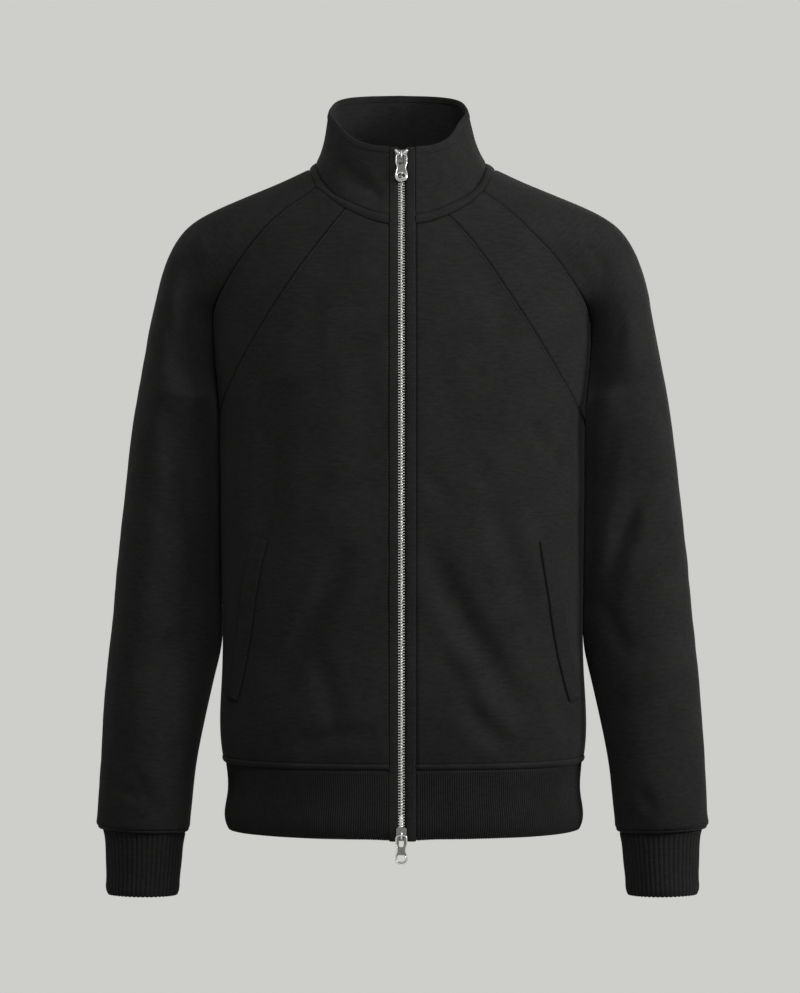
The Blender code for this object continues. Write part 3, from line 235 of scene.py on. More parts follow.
# move one edge of a grid into its piece, square to the edge
def drawIn(grid, normal, edge, amount):
    lines = fromEdge(grid, edge)
    inward = unit(np.cross(fromEdge(normal, edge)[:, 0], np.gradient(lines[:, 0], axis=0)))
    facing = np.sign(np.sum(inward * (lines[:, 1] - lines[:, 0]), axis=-1, keepdims=True))
    lines[:, 0] += inward * facing * amount


# both faces of a wall drawn in at its seams, by half the gap between two pieces
def drawSeams(outer, inner, normal, *edges):
    for edge in edges:
        drawIn(outer, normal, edge, seams["gap"] / 2)
        drawIn(inner, normal, edge, seams["gap"] / 2)


# both faces of a wall cut off straight beside the zip
def trimAtZip(outer, inner):
    for place in (0, -1):
        edgeX = np.sign(outer[0, place, 0]) * seams["panelStart"]
        outer[:, place, 0] = inner[:, place, 0] = edgeX


# quads between closed rings of points, from their numbers; turned over to be seen from inside
def ringQuads(ids, over=False):
    turned = np.roll(ids, -1, axis=1)
    corners = [ids[:-1], turned[:-1], turned[1:], ids[1:]]
    corners = corners[:1] + corners[:0:-1] if over else corners
    return np.stack(corners, axis=-1).reshape(-1, 4)


# a mesh object from points in millimetres, quads, a texture place for each corner and painted
# shade for each point, which darkens the cloth in its creases
def makeMesh(name, points, quads, corners=None, tones=None):
    quads = np.asarray(quads)
    mesh = bpy.data.meshes.new(name)
    mesh.vertices.add(len(points))
    mesh.vertices.foreach_set("co", (np.asarray(points) * mm).astype(np.float32).ravel())
    mesh.loops.add(quads.size)
    mesh.loops.foreach_set("vertex_index", quads.astype(np.int32).ravel())
    mesh.polygons.add(len(quads))
    mesh.polygons.foreach_set("loop_start", np.arange(0, quads.size, 4, dtype=np.int32))
    mesh.polygons.foreach_set("use_smooth", np.full(len(quads), True))
    mesh.update(calc_edges=True)
    if corners is not None:
        layer = mesh.uv_layers.new(name="cloth")
        layer.uv.foreach_set("vector", np.asarray(corners, np.float32).ravel())
    if tones is not None:
        layer = mesh.attributes.new("tone", "FLOAT", "POINT")
        layer.data.foreach_set("value", np.asarray(tones, np.float32))
    thing = bpy.data.objects.new(name, mesh)
    bpy.context.scene.collection.objects.link(thing)
    return thing


# one mesh object from blocks of points and quads
def makeJoined(name, blocks):
    starts = np.cumsum([0] + [len(points) for points, _ in blocks])
    quads = [faces + start for (_, faces), start in zip(blocks, starts)]
    return makeMesh(name, np.concatenate([points for points, _ in blocks]), np.concatenate(quads))


# a texture place in units of 100 mm: across from the middle column, up along that column
def clothMap(grid, middle):
    steps = np.linalg.norm(np.diff(grid, axis=1), axis=-1)
    across = np.concatenate([np.zeros((len(grid), 1)), np.cumsum(steps, axis=1)], axis=1)
    across -= across[:, middle:middle + 1]
    along = np.broadcast_to(lengthAlong(grid[:, middle])[:, None], across.shape)
    return np.stack([across, along], axis=-1) / 100


edgeTurns = {"fine": (24, 46, 66, 82), "plain": (34, 62, 82)}    # degrees round a free edge


# rounded free edge: both faces of a wall run on over half a circle until they meet
def roundEdge(outer, inner, tone, edge, turns=edgeTurns["plain"]):
    rows = edge.endswith("Row")
    last = edge.startswith("last")
    outerLines, innerLines = fromEdge(outer, edge), fromEdge(inner, edge)
    middle = (outerLines[:, 0] + innerLines[:, 0]) / 2
    half = (outerLines[:, 0] - innerLines[:, 0]) / 2
    size = np.linalg.norm(half, axis=-1, keepdims=True)
    ahead = outerLines[:, 0] - outerLines[:, 1] + innerLines[:, 0] - innerLines[:, 1]
    ahead = unit(ahead - np.sum(ahead * half, axis=-1, keepdims=True) * half / size ** 2)
    angles = np.radians(np.array(turns))[None, :, None]
    spread = half[:, None] * np.cos(angles)
    reach = middle[:, None] + ahead[:, None] * size[:, None] * np.sin(angles)
    grids = []
    for lines, extra in ((outerLines, reach + spread), (innerLines, reach - spread)):
        joined = np.concatenate([extra[:, ::-1], lines], axis=1)
        joined = joined[:, ::-1] if last else joined
        grids.append(np.swapaxes(joined, 0, 1) if rows else joined)
    more = (0, len(turns)) if last else (len(turns), 0)
    # the painted crease shade runs on over the rounded edge
    tone = np.pad(tone, (more, (0, 0)) if rows else ((0, 0), more), mode="edge")
    return grids[0], grids[1], tone


# painted shade of creased cloth: 1 on the flat, less in a dip of the relief, where shade falls
def paintedCreaseShade(relief, deep=0.9, dark=0.42):
    return 1 - dark * np.clip(-relief / deep, 0, 1)


wallSharp = 64.0    # degrees between faces, past which a wall's edge isn't smoothed


# a closed wall: the outer grid, the inner grid turned over, and a rim round their free edges
def makeWall(name, outer, inner, closed=None, places=None, tone=None):
    rows, columns = outer.shape[:2]
    places = clothMap(outer, columns // 2) if places is None else places
    # painted shade of the outer face's points in their creases; the inner face stays unshaded
    tones = np.ones(2 * rows * columns)
    if tone is not None:
        tones[:tone.size] = tone.ravel()
    plain = np.arange(rows * columns).reshape(rows, columns)
    ids = plain.copy()
    if closed is not None:
        ids[closed, -1] = ids[closed, 0]

    def around(table):
        return np.stack([table[:-1, :-1], table[:-1, 1:], table[1:, 1:], table[1:, :-1]],
                        axis=-1).reshape(-1, 4)
    quads, spots = around(ids), around(plain)
    edges = np.concatenate([quads[:, [k, (k + 1) % 4]] for k in range(4)])
    spotEdges = np.concatenate([spots[:, [k, (k + 1) % 4]] for k in range(4)])
    keys = np.sort(edges, axis=1)
    code = keys[:, 0].astype(np.int64) * ids.size + keys[:, 1]
    _, first, uses = np.unique(code, return_index=True, return_counts=True)
    first = first[uses == 1]
    rim, rimSpots, count = edges[first], spotEdges[first], rows * columns
    faces = np.concatenate([
        quads, quads[:, ::-1] + count,
        np.stack([rim[:, 1], rim[:, 0], rim[:, 0] + count, rim[:, 1] + count], axis=-1)])
    faceSpots = np.concatenate([
        spots, spots[:, ::-1],
        np.stack([rimSpots[:, 1], rimSpots[:, 0], rimSpots[:, 0], rimSpots[:, 1]], axis=-1)])
    points = np.concatenate([outer.reshape(-1, 3), inner.reshape(-1, 3)])
    a, b, c = (points[quads[:, k]] for k in (0, 1, 2))
    thickness = points[quads[:, 0]] - points[quads[:, 0] + count]
    if np.sum(np.cross(b - a, c - a) * thickness) < 0:
        faces, faceSpots = faces[:, ::-1], faceSpots[:, ::-1]
    used, faces = np.unique(faces, return_inverse=True)
    corners = places.reshape(-1, 2)[faceSpots.ravel()]
    wall = makeMesh(name, points[used], faces.reshape(-1, 4), corners, tones[used])
    wall.data.set_sharp_from_angle(angle=math.radians(wallSharp))
    return wall


# a new material, its node tree and its shader
def newMaterial(name):
    material = bpy.data.materials.new(name)
    material.use_nodes = True
    tree = material.node_tree
    return material, tree, tree.nodes["Principled BSDF"]


# inputs of a node: a socket is linked, anything else is set as its value
def setInputs(tree, node, inputs):
    for key, value in inputs.items():
        if isinstance(value, bpy.types.NodeSocket):
            tree.links.new(value, node.inputs[key])
        else:
            node.inputs[key].default_value = value


# a new node; what comes back is its output
def addNode(tree, kind, inputs, output=0, **settings):
    node = tree.nodes.new(kind)
    for key, value in settings.items():
        setattr(node, key, value)
    setInputs(tree, node, inputs)
    return node.outputs[output]


# nodes in common use: a sum or product, noise, a mix of two colours, a range, a bump
def addMath(tree, operation, a, b):
    return addNode(tree, "ShaderNodeMath", {0: a, 1: b}, operation=operation)


def addNoise(tree, place, scale, detail, rough=0.5):
    return addNode(tree, "ShaderNodeTexNoise", {
        "Vector": place, "Scale": scale, "Detail": detail, "Roughness": rough}, "Fac")


def addMix(tree, factor, first, second):
    return addNode(tree, "ShaderNodeMix", {
        "Factor": factor, "A": (*first, 1), "B": (*second, 1)}, "Result", data_type="RGBA")


def addRange(tree, value, low, high, start, end):
    return addNode(tree, "ShaderNodeMapRange", {
        "Value": value, "From Min": low, "From Max": high, "To Min": start, "To Max": end})


def addBump(tree, height, strength):
    return addNode(tree, "ShaderNodeBump", {
        "Height": height, "Strength": strength, "Distance": 1.0})


clothLook = {
    # darkest and lightest colour, roughness, sheen, knit pitch across and along in mm, height of
    # the knit and of the fuzz in mm
    "fleece": {"dark": (0.0110, 0.0110, 0.0109), "light": (0.0240, 0.0241, 0.0237), "rough": 0.88,
               "sheen": 0.05, "sheenRough": 0.45, "wale": 1.15, "course": 0.9, "knit": 0.02,
               "fuzz": 0.11},
    "rib": {"dark": (0.0110, 0.0110, 0.0109), "light": (0.0235, 0.0236, 0.0232), "rough": 0.90,
            "sheen": 0.05, "sheenRough": 0.5, "wale": 1.1, "course": 0.8, "knit": 0.06,
            "fuzz": 0.07},
}
clothPattern = {
    # pitch, unevenness and direction of the two waves that make the loops
    "waves": (("wale", 0.6, "X"), ("course", 0.9, "Y")),
    # noise: scale, detail, roughness
    "fuzz": (760.0, 3.0, 0.65), "streaks": (1.0, 4.0, 0.65), "clouds": (26.0, 2.0, 0.5),
    "streakScale": (10.0, 38.0, 1.0),
    # share of each in the tone, and the tones that stand for darkest and lightest
    "shares": {"fuzz": 0.30, "streaks": 0.48, "clouds": 0.22, "loops": 0.02},
    "tones": (0.32, 0.68),
    "bump": 0.55, "shine": 0.02, "sheenTint": (0.78, 0.78, 0.77, 1),
}


# knitted cloth: a loop pattern from two crossed waves, fuzz and melange from noise at three sizes,
# and painted shade in its creases from each point's attribute
def makeCloth(name):
    look = clothLook[name]
    material, tree, shader = newMaterial(name)
    cloth = addNode(tree, "ShaderNodeUVMap", {}, "UV", uv_map="cloth")
    place = addNode(tree, "ShaderNodeTexCoord", {}, "Object")
    wales, courses = (addNode(tree, "ShaderNodeTexWave", {
        "Vector": cloth, "Scale": 100 / look[pitch] / 20 * math.pi, "Distortion": uneven,
        "Detail": 1.0, "Detail Scale": 2.0}, "Fac", bands_direction=direction)
        for pitch, uneven, direction in clothPattern["waves"])
    streakPlace = addNode(tree, "ShaderNodeMapping", {
        "Vector": cloth, "Scale": clothPattern["streakScale"]})
    parts = {"fuzz": addNoise(tree, place, *clothPattern["fuzz"]),
             "streaks": addNoise(tree, streakPlace, *clothPattern["streaks"]),
             "clouds": addNoise(tree, place, *clothPattern["clouds"]),
             "loops": addMath(tree, "MULTIPLY", wales, courses)}
    tone = 0.0
    for part, share in clothPattern["shares"].items():
        tone = addMath(tree, "ADD", tone, addMath(tree, "MULTIPLY", parts[part], share))
    spread = addRange(tree, tone, *clothPattern["tones"], 0.0, 1.0)
    # painted shade: each point's crease attribute scales the colour down
    crease = addNode(tree, "ShaderNodeAttribute", {}, "Fac", attribute_name="tone")
    shaded = addNode(tree, "ShaderNodeVectorMath", {
        0: addMix(tree, spread, look["dark"], look["light"]), "Scale": crease}, operation="SCALE")
    height = addMath(tree, "ADD", addMath(tree, "MULTIPLY", parts["loops"], look["knit"] * mm),
                     addMath(tree, "MULTIPLY", parts["fuzz"], look["fuzz"] * mm))
    setInputs(tree, shader, {
        "Base Color": shaded, "Normal": addBump(tree, height, clothPattern["bump"]),
        "Roughness": look["rough"], "Specular IOR Level": clothPattern["shine"],
        "Sheen Weight": look["sheen"], "Sheen Roughness": look["sheenRough"],
        "Sheen Tint": clothPattern["sheenTint"]})
    return material


tapeLook = {
    "dark": (0.005, 0.005, 0.0055), "light": (0.013, 0.013, 0.0135),
    "twill": 42.0, "uneven": 0.3, "height": 0.08, "bump": 0.7, "rough": 0.8, "shine": 0.2,
}


# woven tape: fine slanted twill lines from a wave along one diagonal
def makeTapeCloth():
    material, tree, shader = newMaterial("wovenTape")
    cloth = addNode(tree, "ShaderNodeUVMap", {}, "UV", uv_map="cloth")
    twill = addNode(tree, "ShaderNodeTexWave", {
        "Vector": cloth, "Scale": tapeLook["twill"], "Distortion": tapeLook["uneven"]}, "Fac",
        bands_direction="DIAGONAL")
    height = addMath(tree, "MULTIPLY", twill, tapeLook["height"] * mm)
    setInputs(tree, shader, {
        "Base Color": addMix(tree, twill, tapeLook["dark"], tapeLook["light"]),
        "Normal": addBump(tree, height, tapeLook["bump"]),
        "Roughness": tapeLook["rough"], "Specular IOR Level": tapeLook["shine"]})
    return material


threadLook = {
    "dark": (0.008, 0.008, 0.0085), "light": (0.024, 0.024, 0.025),
    "fibres": 2600.0, "rough": 0.55, "shine": 0.4,
}


# sewing thread: spun fibres as fine noise
def makeThread():
    material, tree, shader = newMaterial("thread")
    place = addNode(tree, "ShaderNodeTexCoord", {}, "Object")
    fibres = addNoise(tree, place, threadLook["fibres"], 1.0)
    setInputs(tree, shader, {
        "Base Color": addMix(tree, fibres, threadLook["dark"], threadLook["light"]),
        "Roughness": threadLook["rough"], "Specular IOR Level": threadLook["shine"]})
    return material


metalLook = {
    "teeth": {"colour": (0.95, 0.94, 0.92), "worn": (0.66, 0.65, 0.63), "rough": (0.22, 0.36)},
    "slider": {"colour": (0.34, 0.335, 0.33), "worn": (0.17, 0.168, 0.165), "rough": (0.22, 0.38)},
    "rubbed": (420.0, 4.0, 0.6), "rubbedTones": (0.3, 0.7), "height": 0.03, "bump": 0.3,
}


# polished metal: roughness and tone change with fine rubbed noise
def makeMetal(name):
    look = metalLook[name]
    material, tree, shader = newMaterial(name + "Metal")
    place = addNode(tree, "ShaderNodeTexCoord", {}, "Object")
    rubbed = addNoise(tree, place, *metalLook["rubbed"])
    height = addMath(tree, "MULTIPLY", rubbed, metalLook["height"] * mm)
    setInputs(tree, shader, {
        "Base Color": addMix(tree, rubbed, look["worn"], look["colour"]),
        "Roughness": addRange(tree, rubbed, *metalLook["rubbedTones"], *look["rough"]),
        "Normal": addBump(tree, height, metalLook["bump"]), "Metallic": 1.0})
    return material


materials = {name: makeCloth(name) for name in clothLook}
materials["tape"] = makeTapeCloth()
materials["thread"] = makeThread()
materials["teeth"] = makeMetal("teeth")
materials["slider"] = makeMetal("slider")
print("materials made")


# dress a piece: its material, its body and the CAD nodes it stands for
def dress(thing, material, nodes=(), body="root"):
    thing.data.materials.clear()
    thing.data.materials.append(materials[material])
    if nodes:
        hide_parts(*nodes)
    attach(thing, body)
    return thing


# a cloth piece: a wall between its two faces, named and dressed
def makePiece(name, node, outer, inner, material="fleece", slotName="fleece", **details):
    wall = makeWall(name, outer, inner, **details)
    dress(wall, material, [node])


bodyForm = {
    # height, half width, depth to the front, depth to the back, sideways shift
    "rings": [(-588, 179.3, 127.3, 107.5, 1.0), (-571, 181.6, 131.0, 111.5, 0.8),
              (-500, 180.5, 131.0, 112.0, 0.4), (-400, 180.5, 130.0, 108.5, 0.0),
              (-300, 181.5, 129.0, 110.5, 0.0), (-235, 183.0, 128.0, 115.0, 0.0),
              (-190, 187.0, 128.0, 117.0, 0.0), (-141, 191.5, 128.0, 118.0, 0.0),
              (-80, 201.0, 128.0, 118.0, 0.0), (-20, 210.0, 128.0, 118.0, 0.0),
              (40, 216.0, 128.0, 118.0, 0.0)],
    # distance from the middle, height of the crest on the front and on the back
    "crest": [(0, 36, 62), (42, 25, 50), (78, 8, 24), (124, -12, -10), (156, -26, -24),
              (190, -42, -40), (215, -58, -56)],
    "squareness": 2.4,
    "girthWidth": 182.0,
    "girthDepth": 129.0,
    "shoulderDepth": 5.0,
    "base": -235.0,
    "rounding": {"front": 2.15, "back": 2.6},
    "facing": {"front": -1.0, "back": 1.0},
    "quarterGirth": 250.0,
    "sideFade": 0.42,         # towards the side, the share of the depth from which folds fade
    # waves of the cloth: size across, depth, seed
    "waves": [(58.0, 0.55, 11), (24.0, 0.30, 12), (9.5, 0.10, 13)],
}

seams = {
    # height and turn from the middle of the garment, in degrees
    "yokeRight": [(-256, 90), (-233, 75.5), (-221.5, 68), (-200, 57.7), (-176.5, 48.8),
                  (-153, 41.4), (-131, 34.7), (-107, 27.9), (-85.5, 22.1), (-65.5, 17.1),
                  (-43.2, 11.9)],
    "yokeLeft": [(-256, 90), (-245, 76), (-233.5, 67.5), (-213, 56.4), (-181.5, 44.3),
                 (-155.5, 36.3), (-132, 29.6), (-108, 23.4), (-85.5, 18), (-67, 13.5),
                 (-50.4, 9.05)],
    "raglanRight": [(-228, 90), (-205, 88.5), (-175, 85.5), (-148, 79.5), (-126, 67),
                    (-107, 56.9), (-85.5, 47.3), (-66, 39.6), (-48.5, 32.4), (-37.5, 27.4),
                    (-29.5, 23.6), (-20.5, 19.76)],
    "raglanLeft": [(-228, 90), (-205, 87.5), (-175, 83.5), (-152.5, 77), (-129, 64.2),
                   (-110, 54.2), (-86, 43.5), (-69, 35.9), (-49, 28.2), (-34, 21.9),
                   (-25, 18.1)],
    "raglanBack": [(-228, 90), (-200, 87), (-170, 83), (-142, 75), (-115, 62), (-88, 50),
                   (-62, 39.5), (-38, 30.5), (-12, 22.4), (9, 15.8)],
    # distance from the middle and height of the neck's edge
    "neckFront": [(0, -61), (20, -59), (36, -54), (51.4, -46.5), (66, -37), (79, -25),
                  (85, -20.5)],
    "neckBack": [(0, 13), (30, 12.8), (55, 11.6), (72, 9)],
    "hem": -588.0,
    "panelStart": 13.2,
    "yokeAtNeck": {"Right": 57.0, "Left": 44.0},
    "raglanAtNeck": {"Right": 85.0, "Left": 79.0, "back": 72.0},
    "gap": 0.06,
}

# place, head x and z, foot x and z, sideways bow, half width, depth (minus is a ridge)
folds = [
    ("front", -114, -212, -135, -386, -6, 18, 8.0), ("front", -54, -371, -122, -511, 4, 15, 6.0),
    ("front", 20, -366, 124, -540, -6, 17, 8.0), ("front", 85, -328, 124, -434, 0, 15, 5.0),
    ("front", 51, -520, 104, -568, 0, 12, 5.0), ("front", -104, -566, -26, -550, 3, 11, 3.6),
    ("front", 23, -300, 48, -335, 0, 10, 1.8), ("front", 66, -280, 89, -328, 0, 10, 1.8),
    ("front", -95, -455, -60, -560, 3, 13, 2.6), ("front", 30, -470, 78, -540, 2, 12, 2.6),
    ("front", 120, -250, 160, -300, 0, 10, 2.0), ("front", -150, -245, -118, -300, 0, 9, 1.8),
    ("front", 140, -430, 158, -560, 3, 12, 2.8), ("front", -146, -430, -160, -550, -3, 12, 2.8),
    ("front", 36, -200, 50, -290, 4, 17, 1.6), ("front", -40, -170, -30, -300, 0, 18, 1.8),
    ("front", -78, -120, -100, -200, 0, 14, 1.6), ("front", 84, -110, 104, -190, 0, 14, 1.6),
    ("back", -62, -210, -118, -420, -8, 18, 6.5), ("back", 58, -236, 126, -452, 8, 18, 6.8),
    ("back", -20, -400, -96, -546, 4, 15, 5.0), ("back", 30, -430, 92, -556, -4, 15, 4.6),
    ("back", -140, -260, -90, -330, 0, 12, 2.4), ("back", 140, -255, 96, -320, 0, 12, 2.4),
    ("back", -8, -160, 14, -300, 3, 17, 1.8), ("back", -40, -545, 50, -566, 0, 11, 2.2),
    ("sleeveRightFront", -212, -90, -184, -244, -5, 17, 9.0),
    ("sleeveRightFront", -206, -62, -194, -90, 0, 10, -2.5),
    ("sleeveRightFront", -236, -134, -217, -214, 0, 13, 5.0),
    ("sleeveRightFront", -233, -228, -198, -430, 7, 15, 6.5),
    ("sleeveRightFront", -246, -330, -214, -372, 0, 10, 2.2),
    ("sleeveRightFront", -222, -470, -262, -500, 2, 10, 2.6),
    ("sleeveRightFront", -206, -452, -244, -474, 2, 9, 2.2),
    ("sleeveRightFront", -268, -588, -236, -640, 0, 9, 2.4),
    ("sleeveRightFront", -281, -606, -256, -622, 0, 7, 2.6),
    ("sleeveRightFront", -284, -420, -262, -452, 0, 9, 1.6),
    ("sleeveRightFront", -216, -560, -238, -596, 0, 9, 2.0),
    ("sleeveRightBack", -244, -190, -212, -400, 5, 16, 6.0),
    ("sleeveRightBack", -206, -420, -262, -470, 6, 13, 5.0),
    ("sleeveRightBack", -280, -520, -232, -560, 0, 10, 2.6),
    ("sleeveLeftFront", 250, -300, 198, -442, -12, 13, 7.5),
    ("sleeveLeftFront", 184, -420, 219, -478, 2, 10, 4.5),
    ("sleeveLeftFront", 188, -76, 197, -112, 0, 11, 3.5),
    ("sleeveLeftFront", 217, -144, 184, -216, 5, 9, 2.4),
    ("sleeveLeftFront", 229, -608, 246, -634, 0, 8, 2.6),
    ("sleeveLeftFront", 262, -360, 226, -392, 0, 10, 2.0),
    ("sleeveLeftFront", 282, -500, 248, -528, 0, 9, 1.8),
    ("sleeveLeftFront", 206, -245, 194, -330, 0, 11, 2.6),
    ("sleeveLeftBack", 246, -200, 210, -392, -6, 16, 6.0),
    ("sleeveLeftBack", 206, -430, 262, -474, -5, 13, 5.0),
    ("sleeveLeftBack", 280, -530, 234, -566, 0, 10, 2.6),
    ("collar", 39, -10, 16, -31, 2, 7, 2.6), ("collar", -62, 8, -38, -28, -2, 11, 4.4),
    ("collar", -44, -6, -20, -36, -2, 7, 3.0), ("collar", 58, 10, 46, -14, 0, 8, 1.6),
    ("collar", 52, -8, 34, -30, 0, 6, 1.4), ("collar", -66, 24, -58, -10, 0, 7, 1.4),
]
foldShape = {"ends": 0.6, "banks": 0.6, "spread": 1.2, "sleeveFade": 0.7}


# folds of one place: along each, a half wave to a power; across it, a bell with low banks
def foldDepth(place, x, z):
    total = np.zeros(np.broadcast(x, z).shape)
    for where, xHead, zHead, xFoot, zFoot, bow, width, depth in folds:
        if where != place:
            continue
        run = np.array([xFoot - xHead, zFoot - zHead])
        length = np.linalg.norm(run)
        ahead = run / length
        along = ((x - xHead) * ahead[0] + (z - zHead) * ahead[1]) / length
        inside = np.clip(along, 0, 1)
        aside = (x - xHead) * -ahead[1] + (z - zHead) * ahead[0]
        offset = (aside - bow * 4 * inside * (1 - inside)) / width
        ends = np.sin(math.pi * inside) ** foldShape["ends"] * ((along > 0) & (along < 1))
        bell = (1 - foldShape["banks"] * offset ** 2) * np.exp(-offset ** 2 / foldShape["spread"])
        total -= depth * ends * bell
    return total


turnTable = np.linspace(0, math.pi / 2, 1441)
girthTable = lengthAlong(stack(
    bodyForm["girthWidth"] * np.sin(turnTable) ** (2 / bodyForm["squareness"]),
    bodyForm["girthDepth"] * np.cos(turnTable) ** (2 / bodyForm["squareness"]), 0))
girthTable /= girthTable[-1]


# share of the way round to the side seam, from the turn
def shareOfTurn(degrees):
    return np.interp(np.radians(degrees), turnTable, girthTable)


# the oval solved for its turn: the distance over the half width, to half the squareness
def shareOfAcross(across, height):
    ratio = across / readCurve(bodyForm["rings"], 1, height)
    turn = np.arcsin(np.clip(ratio, 0, 1) ** (bodyForm["squareness"] / 2))
    return np.interp(turn, turnTable, girthTable)


# the body: a squarish oval at each height, which closes over the shoulders towards the crest,
# moved along its outward direction by the folds and waves of the cloth
def bodyPoint(share, height, face):
    share, height = np.broadcast_arrays(np.asarray(share, float), np.asarray(height, float))
    side, facing = np.where(share < 0, -1.0, 1.0), bodyForm["facing"][face]
    power = bodyForm["squareness"]
    turn = np.interp(np.abs(share), girthTable, turnTable)
    across, ahead = np.sin(turn) ** (2 / power), np.maximum(np.cos(turn), 0) ** (2 / power)
    width = readCurve(bodyForm["rings"], 1, height)
    depth = readCurve(bodyForm["rings"], 2 if face == "front" else 3, height)
    top = readCurve(bodyForm["crest"], 1 if face == "front" else 2, width * across)
    rise = np.clip((height - bodyForm["base"]) / (top - bodyForm["base"]), 0, 1)
    rounding, middle = bodyForm["rounding"][face], bodyForm["shoulderDepth"]
    fullness = (1 - rise ** rounding) ** (1 / rounding)
    x = side * width * across + readCurve(bodyForm["rings"], 4, height)
    y = middle + (facing * depth * ahead - middle) * fullness
    outward = unit(stack(side * across ** (power - 1) / width,
                         facing * ahead ** (power - 1) / depth, 0))
    lift = foldDepth(face, x, height)
    for size, high, seed in bodyForm["waves"]:
        lift = lift + high * ripple(x + 400, height + 900, size, seed + (face == "back") * 10)
    fade = np.clip(ahead / bodyForm["sideFade"], 0, 1) ** 2
    return stack(x, y, height) + outward * (lift * fade)[..., None]


# girth shares and heights of a seam at shares of its length, from its foot up
def seamSamples(name, face, shares):
    rows = seams[name]
    heights = np.linspace(rows[0][0], rows[-1][0], 400)
    rounds = shareOfTurn(readCurve(rows, 1, heights))
    lengths = lengthAlong(bodyPoint(rounds, heights, face))
    return np.interp(shares, lengths / lengths[-1], rounds), \
        np.interp(shares, lengths / lengths[-1], heights)


# girth shares and heights along the neck's edge
def neckSamples(face, start, end, shares):
    across = start + (end - start) * np.asarray(shares)
    heights = readCurve(seams["neckFront" if face == "front" else "neckBack"], 1, across)
    return shareOfAcross(across, heights), heights


# Coons patch: two ruled sheets between opposite edges, less the one through the corners
def coonsPatch(left, right, bottom, top, across, rises):
    u, v = across[None, :], rises[:, None]
    grids = []
    for k in (0, 1):
        sides = (1 - u) * left[k][:, None] + u * right[k][:, None]
        ends = (1 - v) * bottom[k][None, :] + v * top[k][None, :]
        corners = ((1 - u) * (1 - v) * bottom[k][0] + u * (1 - v) * bottom[k][-1]
                   + (1 - u) * v * top[k][0] + u * v * top[k][-1])
        grids.append(sides + ends - corners)
    return grids


division = {
    # steps of the grids in mm, and how far fine goes from an edge
    "fine": 0.75, "coarse": 4.6, "coarseOf": {"back": 5.2, "neck": 3.6}, "reach": 7.0,
    # length that each piece's steps are worked out for
    "side": 340.0, "cap": 270.0, "front": 267.0, "yoke": 62.0, "back": 267.0, "sleeve": 215.0,
    "arm": 440.0, "neck": 265.0,
}


# shares along a piece, fine near the chosen ends
def steps(piece, ends=(True, True)):
    coarse = division["coarseOf"].get(piece, division["coarse"])
    return gradedShares(division[piece], division["fine"], coarse, division["reach"], ends)


capShares = steps("cap", (False, True))
sideShares = steps("side", (True, False))
sideHeights = seams["hem"] + sideShares * (seams["yokeLeft"][0][0] - seams["hem"])
capStart = len(sideHeights) - 1


# girth shares and heights of a front panel, rows from the hem up, columns from the zip
def frontPatch(name):
    across = steps("front")
    seam = seamSamples("yoke" + name, "front", capShares)
    rightHeights = np.concatenate([sideHeights, seam[1][1:]])
    rightRounds = np.concatenate([np.ones(len(sideHeights)), seam[0][1:]])
    top = neckSamples("front", seams["panelStart"], seams["yokeAtNeck"][name], across)
    rises = (rightHeights - seams["hem"]) / (rightHeights[-1] - seams["hem"])
    leftHeights = seams["hem"] + rises * (top[1][0] - seams["hem"])
    leftRounds = shareOfAcross(seams["panelStart"], leftHeights)
    bottom = (leftRounds[0] + across * (1 - leftRounds[0]), np.full(len(across), seams["hem"]))
    return coonsPatch((leftRounds, leftHeights), (rightRounds, rightHeights), bottom, top,
                      across, rises)


# the same of a shoulder wedge, rows from the side up
def yokePatch(name):
    across = steps("yoke")
    low, high = seams["yoke" + name][0][0], seams["raglan" + name][0][0]
    bottom = (np.ones(len(across)), low + across * (high - low))
    top = neckSamples("front", seams["yokeAtNeck"][name], seams["raglanAtNeck"][name], across)
    return coonsPatch(seamSamples("yoke" + name, "front", capShares),
                      seamSamples("raglan" + name, "front", capShares), bottom, top, across,
                      capShares)


# the same of the whole back, columns from the wearer's right to the left
def backPatch():
    across = steps("back", (False, True))
    seam = seamSamples("raglanBack", "back", capShares)
    rightHeights = np.concatenate([sideHeights, seam[1]])
    rightRounds = np.concatenate([np.ones(len(sideHeights)), seam[0]])
    top = neckSamples("back", 0, seams["raglanAtNeck"]["back"], across)
    rises = (rightHeights - seams["hem"]) / (rightHeights[-1] - seams["hem"])
    leftHeights = seams["hem"] + rises * (top[1][0] - seams["hem"])
    bottom = (across.copy(), np.full(len(across), seams["hem"]))
    rounds, heights = coonsPatch((np.zeros(len(rises)), leftHeights),
                                 (rightRounds, rightHeights), bottom, top, across, rises)
    return np.concatenate([-rounds[:, :0:-1], rounds], axis=1), \
        np.concatenate([heights[:, :0:-1], heights], axis=1)


